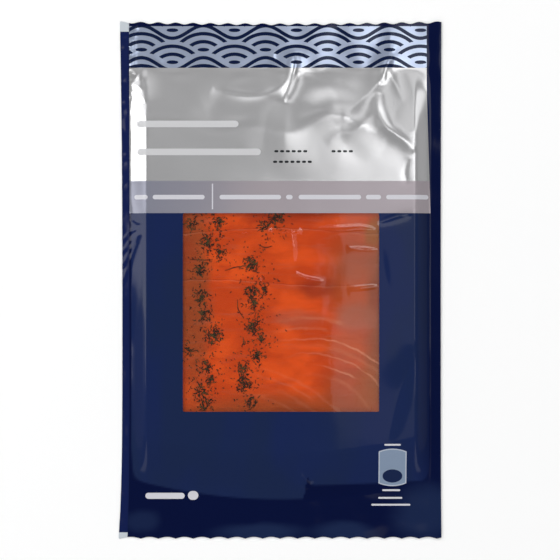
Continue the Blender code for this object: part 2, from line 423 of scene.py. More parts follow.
def soften_corners(window: Window, x: np.ndarray, y: np.ndarray) -> None:
    """Draws the grid points at the window's corners in a little, in place.

    Args:
        window: The window.
        x: Grid's x.
        y: Grid's y.
    """
    for corner_x, inward_x in ((window.left, 1), (window.right, -1)):
        for corner_y, inward_y in ((window.bottom, 1), (window.top, -1)):
            at = np.hypot(x - corner_x, y - corner_y).argmin()
            x.flat[at] += inward_x * window.corner
            y.flat[at] += inward_y * window.corner


def closed_shell(
    name: str,
    x: np.ndarray,
    y: np.ndarray,
    top: np.ndarray,
    bottom: np.ndarray,
    keep: np.ndarray,
    **marks: np.ndarray,
) -> bpy.types.Object:
    """Makes a closed body between two height grids.

    Args:
        name: Name of the object.
        x: Places across.
        y: Places along.
        top: Heights of the upper face.
        bottom: Heights of the lower face.
        keep: True for each cell that the body covers.
        marks: Values that each grid point hands to the material, by name.

    Returns:
        The object.
    """
    count = x.size
    index = np.arange(count).reshape(x.shape)
    a, b, c, d = index[:-1, :-1], index[:-1, 1:], index[1:, 1:], index[1:, :-1]
    upper = np.stack([a, b, c, d], -1)[keep]
    faces = [upper, upper[:, ::-1] + count]
    around = np.pad(keep, 1)
    sides = (
        (a, b, around[:-2, 1:-1]),
        (b, c, around[1:-1, 2:]),
        (c, d, around[2:, 1:-1]),
        (d, a, around[1:-1, :-2]),
    )
    for start, end, neighbour in sides:
        rim = keep & ~neighbour
        s, e = start[rim], end[rim]
        faces.append(np.stack([s, s + count, e + count, e], -1))
    faces = np.concatenate(faces)
    points = np.stack([np.stack([x, y, z], -1).reshape(-1, 3) for z in (top, bottom)]).reshape(-1, 3)
    used, renamed = np.unique(faces, return_inverse=True)
    mesh = bpy.data.meshes.new(name)
    mesh.from_pydata((points[used] * MM).tolist(), [], renamed.reshape(-1, 4).tolist())
    mesh.shade_smooth()
    mesh.set_sharp_from_angle(angle=SHARP_ANGLE)
    for mark, values in marks.items():
        layer = mesh.attributes.new(mark, "FLOAT", "POINT")
        layer.data.foreach_set("value", np.tile(values.ravel(), 2)[used])
    obj = bpy.data.objects.new(name, mesh)
    bpy.context.scene.collection.objects.link(obj)
    return obj


@dataclass(frozen=True)
class EdgeLift:
    """Stretch of the left seal that stands a little off the ground."""

    height: float = 1.15
    outer: float = -77.9
    peak: float = -73.8
    inner: float = -68.0
    low: float = -34.0
    low_run: float = 40.0
    high: float = 47.0
    high_run: float = 22.0

    def at(self, x: np.ndarray, y: np.ndarray) -> np.ndarray:
        """Works out the lift.

        Args:
            x: Places across.
            y: Places along.

        Returns:
            The lift at each place.
        """
        rise = ease((x - self.outer) / (self.peak - self.outer))
        fall = smooth((self.inner - x) / (self.inner - self.peak))
        along = smooth((y - self.low) / self.low_run) * smooth((self.high - y) / self.high_run)
        return self.height * (rise * fall) * along


@dataclass(frozen=True)
class FilmRelief:
    """Heights of the front web: its swell over the food, its folds and its ripples."""

    folds: tuple[Fold, ...]
    edge: EdgeLift = EdgeLift()
    # Edges of the swell, and its heights
    left_foot: float = -73.6
    left_ridge: float = -66.0
    right_ridge: float = 66.9
    right_foot: float = 73.9
    bottom_foot: float = -109.0
    bottom_rise: float = 10.0
    bottom_ridge: float = -86.0
    top_ridge: float = 75.0
    top_foot: float = 105.4
    seal_top: float = 0.45
    plateau: float = 5.3
    crown: float = 0.5
    ridge_wander: float = 3.0
    ridge_waves: Undulation = Undulation(17, 30.0, 80.0)
    ridge_calm: float = 0.3
    ridge_middle: float = 0.8
    # Loose film, which is livelier towards the top
    broad: float = 0.11
    broad_waves: Undulation = Undulation(4, 24.0, 60.0, 1.4)
    facet: float = 0.09
    facet_waves: tuple[Undulation, Undulation] = (
        Undulation(11, 26.0, 70.0, 1.3), Undulation(23, 22.0, 60.0, 1.6),
    )
    calm_top: float = 45.0
    calm_run: float = 45.0
    calm_share: float = 0.07
    # Pleats of the left flank
    flank: float = 0.22
    flank_reach: float = 9.0
    flank_pleats: Undulation = Undulation(7, 5.0, 13.0, 0.8)
    flank_from: float = 5.0
    flank_run: float = 40.0
    flank_low: float = 0.3
    flank_high_from: float = 78.0
    flank_high_run: float = 14.0
    # Seals
    seal_rise: float = 0.15
    seal_ripple: float = 0.03
    seal_waves: Undulation = Undulation(31, 9.0, 30.0)
    ripple_aloft: float = 0.2
    flange_rise: float = 0.24
    flange_width: float = 5.6
    end_from: float = -112.0
    end_run: float = 8.0
    end_swell: float = 0.025
    end_waves: Undulation = Undulation(41, 12.0, 34.0, 0.6)
    deepest: float = 0.15
    # Edge of the clinging foot
    foot_step: float = 7.5
    foot_step_from: float = 10.5
    foot_step_run: float = 6.0
    spike_x: float = 13.6
    spike_width: float = 1.3
    spike_height: float = 7.0
    cling_edge: float = 1.2

    def bow(self, x: np.ndarray) -> np.ndarray:
        """Share by which the bottom's lines rise towards the sides."""
        return clamp((x / self.right_foot) ** 2)

    def swell(self, x: np.ndarray, y: np.ndarray) -> np.ndarray:
        """Height of the film without folds.

        Args:
            x: Places across.
            y: Places along.

        Returns:
            The heights.
        """
        rise = self.bottom_rise * self.bow(x)
        foot, low_ridge = self.bottom_foot + rise, self.bottom_ridge + rise
        side = ease((x - self.left_foot) / (self.left_ridge - self.left_foot))
        side = side * ease((self.right_foot - x) / (self.right_foot - self.right_ridge))
        end = ease((y - foot) / (low_ridge - foot))
        wander = self.ridge_waves.at(x, y * self.ridge_calm) - self.ridge_middle
        ridge = self.top_ridge + self.ridge_wander * wander
        end = end * smooth((self.top_foot - y) / (self.top_foot - ridge))
        crown = self.crown * clamp(1 - (x / self.right_ridge) ** 2) * clamp(1 - (y / self.top_ridge) ** 2)
        return self.seal_top + (self.plateau + crown - self.seal_top) * side * end

    def height(self, x: np.ndarray, y: np.ndarray) -> np.ndarray:
        """Height of the film with its folds and undulations.

        Args:
            x: Places across.
            y: Places along.

        Returns:
            The heights.
        """
        sealed = self.sealed(x, y)
        total = self.swell(x, y) + self.edge.at(x, y)
        for fold in self.folds:
            total = total + fold.lift(x, y)
        lively = self.calm_share + (1 - self.calm_share) * smooth((y - self.calm_top) / self.calm_run)
        first, second = (waves.creased(x, y) for waves in self.facet_waves)
        loose = self.broad * self.broad_waves.at(x, y) + self.facet * (first - second)
        total = total + (1 - sealed) * lively * loose
        flank = smooth(1 - (x - self.left_foot) / self.flank_reach)
        flank = flank * smooth((y - self.flank_from) / self.flank_run)
        high = smooth((y - self.flank_high_from) / self.flank_high_run)
        flank = flank * (self.flank_low + (1 - self.flank_low) * high)
        total = total + self.flank * flank * self.flank_pleats.creased(x, y)
        total = total + self.flange_rise * clamp((x - self.right_foot) / self.flange_width)
        total = total + self.seal_ripple * (self.ripple_aloft + sealed) * self.seal_waves.at(x, y)
        end = sealed * smooth((self.end_from - y) / self.end_run)
        total = total + self.end_swell * end * self.end_waves.at(x, y)
        return np.maximum(total, self.seal_top - self.deepest)

    def sealed(self, x: np.ndarray, y: np.ndarray) -> np.ndarray:
        """Finds where the film is sealed flat onto the back web.

        Args:
            x: Places across.
            y: Places along.

        Returns:
            1 on the seals and 0 where the film stands off.
        """
        return 1 - smooth((self.swell(x, y) - self.seal_top) / self.seal_rise)

    def clinging(self, x: np.ndarray, y: np.ndarray) -> np.ndarray:
        """Finds where the film clings to the back web, on the seals and a little beyond.

        Args:
            x: Places across.
            y: Places along.

        Returns:
            1 where it clings and 0 elsewhere.
        """
        bow = self.bow(x)
        step = smooth((x - self.foot_step_from) / self.foot_step_run)
        line = self.bottom_foot + self.bottom_rise * bow + self.foot_step * step * (1 - bow)
        spike = np.exp(-(((x - self.spike_x) / self.spike_width) ** 2)) * self.spike_height
        return np.maximum(self.sealed(x, y), smooth((line + spike - y) / self.cling_edge + 0.5))


# Pleats that fan out over the left flank and the margin beside it
LEFT_PLEATS = (
    Fold(((-69.0, 23.6), (-72.6, 14.0), (-78.5, -3.0)), 0.5, 0.8),
    Fold(((-69.0, 23.8), (-73.0, 17.6), (-78.5, 5.5)), 0.5, 0.75),
    Fold(((-69.0, 24.0), (-73.5, 20.0), (-78.5, 12.5)), 0.5, 0.7),
    Fold(((-69.2, 25.5), (-73.5, 24.0), (-78.5, 19.0)), 0.45, 0.7),
    Fold(((-69.2, 27.5), (-73.0, 31.5), (-76.5, 41.0)), 0.4, 1.1),
)

FRONT_FOLDS = (
    *LEFT_PLEATS,
    # Star at the middle of the top seal and the fold that runs down from it
    Fold(((7.9, 113.5), (7.3, 105.0), (4.6, 95.9), (1.4, 87.8)), 1.4, 2.2, 1.45, Crest.SHARP),
    Fold(((8.0, 107.0), (12.0, 102.0), (20.0, 98.5), (30.0, 99.0)), 0.3, 2.6, 1.0, Crest.FIRM, Fade.END),
    Fold(((6.0, 101.0), (-2.4, 94.0), (-15.2, 91.0), (-33.5, 94.0)), -0.28, 2.4, 0.6),
    Fold(((4.5, 102.0), (3.5, 86.0), (2.5, 70.0), (1.5, 50.0)), 0.56, 18.0, 0.78, Crest.FIRM, Fade.SOFT),
    Fold(((-69.8, 105.0), (-69.0, 98.0), (-68.0, 88.0)), 0.7, 7.0, 0.35),
    Fold(((-3.0, 114.5), (-3.6, 110.5), (-2.4, 107.5)), 0.16, 0.9, 1.0, Crest.SHARP),
    Fold(((-62.5, 113.0), (-61.0, 109.5), (-58.0, 107.5)), 0.16, 1.0, 1.0, Crest.SHARP),
    # Folds that spread from the right end of the top seal
    Fold(((54.6, 125.0), (54.4, 116.0), (54.0, 107.3)), 0.3, 1.2, 1.0, Crest.SHARP, Fade.START),
    Fold(((54.1, 110.3), (51.8, 103.3), (51.0, 97.0)), 0.6, 1.7, 1.3, Crest.SHARP),
    Fold(((54.1, 109.3), (47.8, 96.5), (38.5, 87.5), (28.0, 76.5)), 0.6, 2.6, 1.7, Crest.FIRM, Fade.END),
    Fold(((54.2, 103.0), (57.5, 96.0), (61.0, 88.0)), 0.4, 1.8, 1.0, Crest.SHARP, Fade.END),
    # Curved ridge in the upper right corner, and the edge of the facet below it
    Fold(
        ((48.6, 93.0), (48.2, 85.0), (51.5, 76.9), (57.2, 71.9), (62.0, 68.4), (66.2, 63.4)),
        0.75, 2.2, 1.3,
    ),
    Fold(((45.0, 81.0), (36.3, 73.1), (29.0, 72.0), (23.0, 67.0)), 0.3, 2.8, 1.0, Crest.FIRM, Fade.END),
    Fold(((63.0, 60.0), (61.5, 53.5), (62.5, 47.0)), -0.22, 1.3),
    # Wedge beside the window and the spike in the foot's edge
    Fold(((48.0, 28.5), (57.0, 31.5), (65.0, 33.5)), -0.3, 1.0, 1.4, Crest.SHARP),
    Fold(((10.0, -90.5), (13.2, -97.5), (16.5, -100.0)), 0.35, 1.6, 1.0, Crest.SHARP),
    Fold(((10.0, -98.5), (11.5, -101.5), (14.0, -103.5)), 0.25, 1.2, 1.0, Crest.SHARP),
    # Long soft edges of the film's facets on the right
    Fold(
        ((67.0, -30.0), (62.5, -46.0), (58.0, -60.0), (52.5, -82.0)),
        -0.85, 3.0, 4.0, Crest.FIRM, Fade.SOFT,
    ),
    Fold(((49.5, 19.0), (51.2, 6.0), (54.0, -7.0)), -0.14, 2.2, 1.0, Crest.FIRM, Fade.SOFT),
    # Film drawn over the lips of the slices, with the star above the window's middle
    Fold(((5.1, 25.5), (6.3, 17.0), (6.6, 9.0)), 0.22, 0.8, 1.0, Crest.SHARP),
    Fold(((0.5, 22.5), (5.2, 23.6), (10.5, 24.3)), 0.2, 0.8, 1.0, Crest.SHARP),
    Fold(((6.6, 4.2), (12.0, 1.0), (22.0, -0.8)), 0.24, 0.7, 1.4, Crest.SHARP),
    Fold(((-19.0, 22.4), (-12.5, 23.8), (-4.0, 25.0)), 0.2, 0.7, 1.5, Crest.SHARP),
    Fold(((16.0, 24.6), (29.0, 24.4), (39.0, 25.2), (47.5, 24.4)), 0.24, 0.8, 1.5, Crest.SHARP),
    Fold(((-31.0, 2.4), (-20.0, 1.8), (-9.0, 0.4)), 0.2, 0.8, 1.5, Crest.SHARP),
    Fold(((33.5, -4.8), (40.0, -4.0), (48.5, -3.2)), 0.22, 0.8, 1.5, Crest.SHARP),
    Fold(((33.0, 15.6), (40.0, 15.0), (48.5, 14.6)), 0.16, 0.7, 1.2, Crest.SHARP),
)


class Value:
    """A number in a shader tree that can be summed and compared like a plain one."""

    def __init__(self, tree: bpy.types.NodeTree, socket: bpy.types.NodeSocket) -> None:
        """Wraps a socket.

        Args:
            tree: Tree that the socket belongs to.
            socket: Output that carries the number.
        """
        self.tree = tree
        self.socket = socket

    def calc(self, operation: str, *others: "Value | float") -> "Value":
        """Adds one math node.

        Args:
            operation: Name of the math node's operation.
            others: Further inputs.

        Returns:
            The node's output.
        """
        node = self.tree.nodes.new("ShaderNodeMath")
        node.operation = operation
        for slot, given in zip(node.inputs, (self, *others)):
            if isinstance(given, Value):
                self.tree.links.new(given.socket, slot)
            else:
                slot.default_value = given
        return Value(self.tree, node.outputs[0])

    def __add__(self, other: "Value | float") -> "Value":
        """Sum."""
        return self.calc("ADD", other)

    def __sub__(self, other: "Value | float") -> "Value":
        """Difference."""
        return self.calc("SUBTRACT", other)

    def __mul__(self, other: "Value | float") -> "Value":
        """Product."""
        return self.calc("MULTIPLY", other)

    def __truediv__(self, other: "Value | float") -> "Value":
        """Quotient."""
        return self.calc("DIVIDE", other)

    def __abs__(self) -> "Value":
        """Distance from zero."""
        return self.calc("ABSOLUTE")

    def below(self, limit: "Value | float") -> "Value":
        """1 where the number is less than the limit."""
        return self.calc("LESS_THAN", limit)

    def above(self, limit: "Value | float") -> "Value":
        """1 where the number is more than the limit."""
        return self.calc("GREATER_THAN", limit)

    def within(self, low: "Value | float", high: "Value | float") -> "Value":
        """1 where the number is between two limits."""
        return self.above(low) * self.below(high)

    def folded(self, period: float) -> "Value":
        """Distance from the nearest multiple of a period, with its sign."""
        return (self + period / 2).calc("FLOORED_MODULO", period) - period / 2

    def ramp(self, low: float, high: float) -> "Value":
        """Soft step from 0 at low to 1 at high.

        Args:
            low: Number where the step starts.
            high: Number where the step ends.

        Returns:
            The step.
        """
        node = self.tree.nodes.new("ShaderNodeMapRange")
        node.interpolation_type = "SMOOTHSTEP"
        self.tree.links.new(self.socket, node.inputs["Value"])
        node.inputs["From Min"].default_value = low
        node.inputs["From Max"].default_value = high
        return Value(self.tree, node.outputs["Result"])


def union(masks: Iterable[Value]) -> Value:
    """Joins masks.

    Args:
        masks: Masks of single forms.

    Returns:
        1 where any of them is 1.
    """
    return reduce(lambda joined, mask: joined.calc("MAXIMUM", mask), masks)


@dataclass(frozen=True)
class Blobs:
    """Settings of a noise texture.

    Attributes:
        size: Size of its blobs, in millimetres.
        detail: Octaves of detail.
        stretch: Scale along each axis.
        warp: Distortion of the noise.
    """

    size: float
    detail: float = 3.0
    stretch: Triple = (1.0, 1.0, 1.0)
    warp: float = 0.0


SOCKETS = {
    "base_color": "Base Color",
    "roughness": "Roughness",
    "ior": "IOR",
    "specular": "Specular IOR Level",
    "subsurface": "Subsurface Weight",
    "radius": "Subsurface Radius",
    "subsurface_scale": "Subsurface Scale",
}


class Surface:
    """A material under construction, with places in millimetres and helpers for its nodes."""

    def __init__(self, name: str) -> None:
        """Starts a material with one Principled shader.

        Args:
            name: Name of the material.
        """
        self.material = bpy.data.materials.new(name)
        self.material.use_nodes = True
        self.tree = self.material.node_tree
        self.shader = self.tree.nodes["Principled BSDF"]
        coordinates = self.tree.nodes.new("ShaderNodeTexCoord")
        self.place = coordinates.outputs["Object"]
        parts = self.tree.nodes.new("ShaderNodeSeparateXYZ")
        self.tree.links.new(self.place, parts.inputs[0])
        self.x, self.y, self.z = (Value(self.tree, out) * 1000.0 for out in parts.outputs)

    def set(self, **values: float | Color) -> None:
        """Sets constants on the shader's own sockets.

        Args:
            values: Socket names in lower case with underscores, and their values.
        """
        for name, value in values.items():
            socket = self.shader.inputs[SOCKETS[name]]
            socket.default_value = (*value, 1.0) if isinstance(value, tuple) and name != "radius" else value

    def link(self, value: "Value | bpy.types.NodeSocket", name: str) -> None:
        """Links a number or a colour to one of the shader's sockets.

        Args:
            value: What to link.
            name: Name of the socket.
        """
        socket = value.socket if isinstance(value, Value) else value
        self.tree.links.new(socket, self.shader.inputs[name])

    def noise(self, blobs: Blobs) -> Value:
        """Adds a noise texture.

        Args:
            blobs: Settings of the noise.

        Returns:
            The noise, about 0.5 on average.
        """
        mapping = self.tree.nodes.new("ShaderNodeMapping")
        mapping.inputs["Scale"].default_value = blobs.stretch
        self.tree.links.new(self.place, mapping.inputs["Vector"])
        node = self.tree.nodes.new("ShaderNodeTexNoise")
        node.inputs["Scale"].default_value = 1000.0 / blobs.size
        node.inputs["Detail"].default_value = blobs.detail
        node.inputs["Distortion"].default_value = blobs.warp
        self.tree.links.new(mapping.outputs[0], node.inputs["Vector"])
        return Value(self.tree, node.outputs["Fac"])

    def mark(self, name: str) -> Value:
        """Reads a value that the mesh hands over."""
        node = self.tree.nodes.new("ShaderNodeAttribute")
        node.attribute_name = name
        return Value(self.tree, node.outputs["Fac"])

    def mix(self, share: Value, first: Paint, second: Paint) -> bpy.types.NodeSocket:
        """Mixes two colours.

        Args:
            share: Share of the second colour.
            first: First colour, or the output that gives it.
            second: Second colour, or the output that gives it.

        Returns:
            The mixed colour.
        """
        node = self.tree.nodes.new("ShaderNodeMix")
        node.data_type = "RGBA"
        self.tree.links.new(share.socket, node.inputs["Factor"])
        for slot, given in (("A", first), ("B", second)):
            if isinstance(given, bpy.types.NodeSocket):
                self.tree.links.new(given, node.inputs[slot])
            else:
                node.inputs[slot].default_value = (*given, 1.0)
        return node.outputs["Result"]

    def bump(self, height: Value, depth: float) -> None:
        """Gives the surface fine relief.

        Args:
            height: Relief from 0 to 1.
            depth: Height of 1, in millimetres.
        """
        node = self.tree.nodes.new("ShaderNodeBump")
        node.inputs["Strength"].default_value = 1.0
        node.inputs["Distance"].default_value = depth * MM
        self.tree.links.new(height.socket, node.inputs["Height"])
        self.tree.links.new(node.outputs[0], self.shader.inputs["Normal"])


@dataclass(frozen=True)
class WavePattern:
    """Traditional pattern of overlapping waves, as lines on the silver field."""

    period: float = 30.7
    row: float = 15.84
    crest_x: float = -68.6
    crest_y: float = 125.85
    swing: float = 3.1
    half_line: float = 0.86
    inner_step: float = 3.96
    arcs: tuple[tuple[float, float], ...] = ((12.6, 16.3), (8.6, 10.9))
    fan_gap: float = 1.7
    lens_half_width: float = 2.9
    lens_half_height: float = 0.92

    def mask(self, surface: Surface) -> Value:
        """Builds the pattern.

        Args:
            surface: Material that gets the pattern.

        Returns:
            1 on the lines.
        """
        across = surface.x - self.crest_x
        down = (surface.y - self.crest_y) * -1.0
        turn = across * (2 * math.pi / self.period)
        centre = (turn.calc("COSINE") * -1.0 + 1.0) * self.swing
        slope = turn.calc("SINE") * (self.swing * 2 * math.pi / self.period)
        thick = (slope * slope + 1.0).calc("SQRT") * self.half_line
        lines = abs((down - centre).folded(self.row)).below(thick)
        dip = 2 * self.swing
        crests = self.nest(across.folded(self.period), down, dip + self.inner_step)
        valley = (across - self.period / 2).folded(self.period)
        valleys = self.nest(valley, down - dip, self.row - dip)
        return union((lines, crests, valleys))

    def nest(self, across: Value, down: Value, fan: float) -> Value:
        """Arcs and the lens nested under one crest.

        Args:
            across: Distance from the crest's column.
            down: Distance below the crest.
            fan: Depth at which the next fan starts in the columns beside this one.

        Returns:
            1 on the arcs and the lens.
        """
        local = down.calc("FLOORED_MODULO", self.row)
        outer = self.arcs[0][1]
        aside = abs(across) * -1.0 + self.period / 2
        above = local - (fan + outer)
        fan_edge = outer + self.half_line + self.fan_gap
        clear = (aside * aside + above * above).calc("SQRT").above(fan_edge)
        shapes = []
        for number, (half_width, radius) in enumerate(self.arcs, start=1):
            from_centre = local - (number * self.inner_step + radius)
            distance = (across * across + from_centre * from_centre).calc("SQRT")
            arc = abs(distance - radius).below(self.half_line)
            arc = arc * abs(across).below(half_width) * from_centre.below(0.0) * clear
            shapes.append(arc)
        wide = across / self.lens_half_width
        high = (local - self.inner_step * (len(self.arcs) + 1)) / self.lens_half_height
        shapes.append((wide * wide + high * high).below(1.0))
        return union(shapes)


@dataclass(frozen=True)
class Bars:
    """A row of plain bars with round ends.

    Attributes:
        spans: Start and end of each bar.
        middle: Height of the row's middle line.
        half: Half the bars' height.
    """

    spans: tuple[Point, ...]
    middle: float
    half: float

    def mask(self, surface: Surface) -> Value:
        """Builds the row of bars.

        Args:
            surface: Material that gets the bars.

        Returns:
            1 on the bars.
        """
        high = surface.y - self.middle
        bars = []
        for start, end in self.spans:
            reach = (end - start) / 2 - self.half
            beyond = (abs(surface.x - (start + end) / 2) - reach).calc("MAXIMUM", 0.0)
            bars.append((beyond * beyond + high * high).below(self.half**2))
        return union(bars)


@dataclass(frozen=True)
class Badge:
    """Plain barrel-shaped badge with a dark oval."""

    x: float = 55.6
    y: float = -92.6
    half_width: float = 6.9
    half_height: float = 9.4
    bulge: float = 0.03
    rim: float = 0.55
    oval: Triple = (-4.3, 4.9, 3.3)

    def masks(self, surface: Surface) -> tuple[Value, Value, Value]:
        """Builds the badge.

        Args:
            surface: Material that gets the badge.

        Returns:
            Masks of the whole badge, of its inside and of its dark oval.
        """
        across, along = surface.x - self.x, surface.y - self.y
        edge = across * across * -self.bulge + self.half_height
        whole = abs(across).below(self.half_width) * abs(along).below(edge)
        inner = abs(across).below(self.half_width - self.rim) * abs(along).below(edge - self.rim)
        low, half_x, half_y = self.oval
        wide, high = across / half_x, (along - low) / half_y
        oval = (wide * wide + high * high).below(1.0)
        return whole, inner, oval


@dataclass(frozen=True)
class Patch:
    """Soft oval patch of another tone; some are painted shade.

    Attributes:
        x: Place of its middle across, in millimetres.
        y: Place of its middle along, in millimetres.
        half_x: Half its width.
        half_y: Half its height.
        tone: Its colour.
        strength: How strongly it covers.
        sway: How far its edge sways across and along.
        fade: Shares of its size between which its edge fades.
    """

    x: float
    y: float
    half_x: float
    half_y: float
    tone: Color
    strength: float
    sway: Span = (9.0, 5.0)
    fade: Span = (1.3, 0.4)

    def mask(self, surface: Surface, warp: Value) -> Value:
        """Builds the patch.

        Args:
            surface: Material that gets the patch.
            warp: Noise that makes its edge uneven.

        Returns:
            The share of its colour.
        """
        wide = (surface.x + warp * self.sway[0] - self.x) / self.half_x
        high = (surface.y + warp * self.sway[1] - self.y) / self.half_y
        return (wide * wide + high * high).calc("SQRT").ramp(*self.fade) * self.strength


@dataclass(frozen=True)
class FrontPrint:
    """Print of the front web: navy with a silver field, a grey band and plain shapes, with painted shade
    towards the right edge and a partly painted reflection on the band's right end.
    """

    waves: WavePattern = WavePattern()
    badge: Badge = Badge()
    navy: Color = (0.0085, 0.0180, 0.0625)
    navy_seal_and_shade: Color = (0.0006, 0.0036, 0.033)
    navy_end: Color = (0.010, 0.021, 0.068)
    navy_bright: Color = (0.0078, 0.0170, 0.0735)
    # Span over the right slope and flange that gets painted shade in the seals' dark navy
    right_painted_shade: Span = (65.5, 79.0)
    silver: Color = (0.66, 0.66, 0.67)
    wave_silver: Color = (0.50, 0.575, 0.76)
    wave_navy: Color = (0.0045, 0.0098, 0.038)
    band_left: Color = (0.24, 0.245, 0.30)
    band_right_tone_and_sheen: Color = (0.37, 0.33, 0.355)
    white: Color = (0.58, 0.575, 0.62)
    dash_dark: Color = (0.01298, 0.01298, 0.016)
    badge_blue: Color = (0.21, 0.27, 0.37)
    badge_rim: Color = (0.42, 0.46, 0.54)
    silver_top: float = 125.6
    waves_bottom: float = 105.0
    band_top: float = 48.9
    band_bottom: float = 33.0
    silver_right: float = 72.6
    right_slant: float = 0.03
    slant_from: float = 95.0
    divider: tuple[float, float, float, float] = (-33.6, -33.0, 34.9, 47.5)
    ior: float = 1.3
    bar_white: Color = (0.56, 0.56, 0.575)
    crimp_pitch: float = 0.72
    crimp_box: tuple[float, float, float, float] = (-74.0, -70.6, 105.8, 118.8)
    tone_blobs: Blobs = Blobs(46.0, 2.0, (1.5, 0.6, 1.0), 0.3)
    tone_span: Span = (0.38, 0.64)
    streaks: Blobs = Blobs(26.0, 3.0, (1.0, 1.8, 1.0), 0.4)
    clouds: Blobs = Blobs(30.0, 2.0)
    cloud_sway: float = 24.0
    band_fade: Span = (-55.0, 10.0)
    silver_metal: float = 0.7
    band_metal: float = 0.2
    silver_rough: float = 0.11
    grain: Blobs = Blobs(0.35)
    grain_rough: float = 0.04
    least_rough: float = 0.05
    crinkles: Blobs = Blobs(6.0, 3.0, (1.0, 0.7, 1.0), 0.3)
    relief: float = 0.03
    relief_shares: Triple = (0.35, 0.03, 0.6)

    def end_patches(self) -> tuple[Patch, ...]:
        """Paler places on the sealed foot."""
        return (
            Patch(-10.0, -124.5, 23.0, 4.6, self.navy_end, 0.8),
            Patch(31.9, -124.5, 17.0, 5.0, self.navy_end, 0.8),
            Patch(72.0, -115.0, 17.0, 15.0, self.navy_end, 0.75),
            Patch(-69.0, -120.0, 9.0, 6.0, self.navy_end, 0.6),
        )

    def wide_rows(self) -> tuple[Bars, ...]:
        """Two wide pale bars on the silver field."""
        return (Bars(((-70.5, -20.5),), 77.0, 1.6), Bars(((-70.5, -9.5),), 63.2, 1.6))

    def band_row(self) -> Bars:
        """Bars on the grey band."""
        spans = (
            (-72.0, -65.3), (-62.8, -37.2), (-29.8, 0.5), (3.0, 6.2), (9.2, 40.0), (42.4, 49.8), (52.4, 73.4),
        )
        return Bars(spans, 40.9, 1.1)

    def dash_rows(self) -> tuple[Bars, ...]:
        """Rows of short dark dashes on the silver field."""
        step, dash, half = 2.85, 2.0, 0.55
        rows = []
        for start, count, middle in ((-2.8, 6, 63.5), (-3.4, 7, 58.3), (25.4, 4, 63.5)):
            spans = tuple((start + i * step, start + i * step + dash) for i in range(count))
            rows.append(Bars(spans, middle, half))
        return tuple(rows)

    def small_rows(self) -> tuple[Bars, ...]:
        """Pale marks on the navy foot of the pack."""
        return (
            Bars(((-66.6, -47.2),), -106.8, 1.5),
            Bars(((-45.6, -40.4),), -106.6, 2.2),
            Bars(((51.5, 59.6),), -81.3, 0.45),
            Bars(((50.6, 59.5),), -104.0, 0.45),
            Bars(((48.6, 60.5),), -107.8, 0.45),
            Bars(((45.2, 64.5),), -111.2, 0.45),
        )

    def material(self) -> bpy.types.Material:
        """Builds the printed film.

        Returns:
            The material.
        """
        surface = Surface("front_print")
        x, y = surface.x, surface.y
        slant = (y * -1.0 + self.slant_from).calc("MAXIMUM", 0.0) * self.right_slant
        left_of_edge = (x - slant).below(self.silver_right)
        silver = y.within(self.band_bottom, self.silver_top) * left_of_edge
        band = y.within(self.band_bottom, self.band_top) * left_of_edge
        waves_zone = y.within(self.waves_bottom, self.silver_top) * left_of_edge
        lines = self.waves.mask(surface) * waves_zone
        color = surface.mix(silver, self.navy_ground(surface), self.silver)
        color = surface.mix(waves_zone, color, self.wave_silver)
        # The band turns warmer and lighter towards its right end: the warmth is its print, the lightness
        # partly a painted reflection
        cloudy = (x + surface.noise(self.clouds) * self.cloud_sway).ramp(*self.band_fade)
        color = surface.mix(band, color, surface.mix(cloudy, self.band_left, self.band_right_tone_and_sheen))
        color = surface.mix(lines, color, self.wave_navy)
        wide = union(bars.mask(surface) for bars in self.wide_rows())
        color = surface.mix(wide, color, self.bar_white)
        x0, x1, y0, y1 = self.divider
        marks = [bars.mask(surface) for bars in (self.band_row(), *self.small_rows())]
        white = union((x.within(x0, x1) * y.within(y0, y1), *marks))
        color = surface.mix(white, color, self.white)
        dark = union(bars.mask(surface) for bars in self.dash_rows())
        color = surface.mix(dark, color, self.dash_dark)
        whole, inner, oval = self.badge.masks(surface)
        for mask, paint in ((whole, self.badge_rim), (inner, self.badge_blue), (oval, self.navy)):
            color = surface.mix(mask, color, paint)
        surface.link(color, "Base Color")
        ink = (lines + white + dark + wide).calc("MINIMUM", 1.0)
        metal = silver * (ink * -1.0 + 1.0)
        surface.link(metal * (band * (self.band_metal - self.silver_metal) + self.silver_metal), "Metallic")
        grain = surface.noise(self.grain)
        surface.link(metal * self.silver_rough + grain * self.grain_rough + self.least_rough, "Roughness")
        surface.set(ior=self.ior)
        crimps = (x * (2 * math.pi / self.crimp_pitch)).calc("SINE") * self.crimp_zone(surface)
        fine, rough, ribs = self.relief_shares
        surface.bump(surface.noise(self.crinkles) * fine + grain * rough + crimps * ribs, self.relief)
        return surface.material

    def navy_ground(self, surface: Surface) -> bpy.types.NodeSocket:
        """Navy ground, darker where the film clings, and with painted shade towards the right edge.

        Args:
            surface: Material that gets the ground.

        Returns:
            The ground's colour.
        """
        clinging = surface.mark("clinging")
        tone = surface.noise(self.tone_blobs).ramp(*self.tone_span)
        color = surface.mix(tone, self.navy, self.navy_bright)
        # Painted shade over the right slope and flange, in the same dark navy as the clinging seals
        dark = surface.x.ramp(*self.right_painted_shade).calc("MAXIMUM", clinging)
        color = surface.mix(dark, color, self.navy_seal_and_shade)
        streaks = surface.noise(self.streaks) - 0.5
        for patch in self.end_patches():
            color = surface.mix(patch.mask(surface, streaks) * clinging, color, patch.tone)
        return color

    def crimp_zone(self, surface: Surface) -> Value:
        """Strip at the left end of the top seal that the jaws have ribbed.

        Args:
            surface: Material that gets the ribs.

        Returns:
            1 in the strip.
        """
        left, right, low, high = self.crimp_box
        return surface.x.within(left, right) * surface.y.within(low, high)


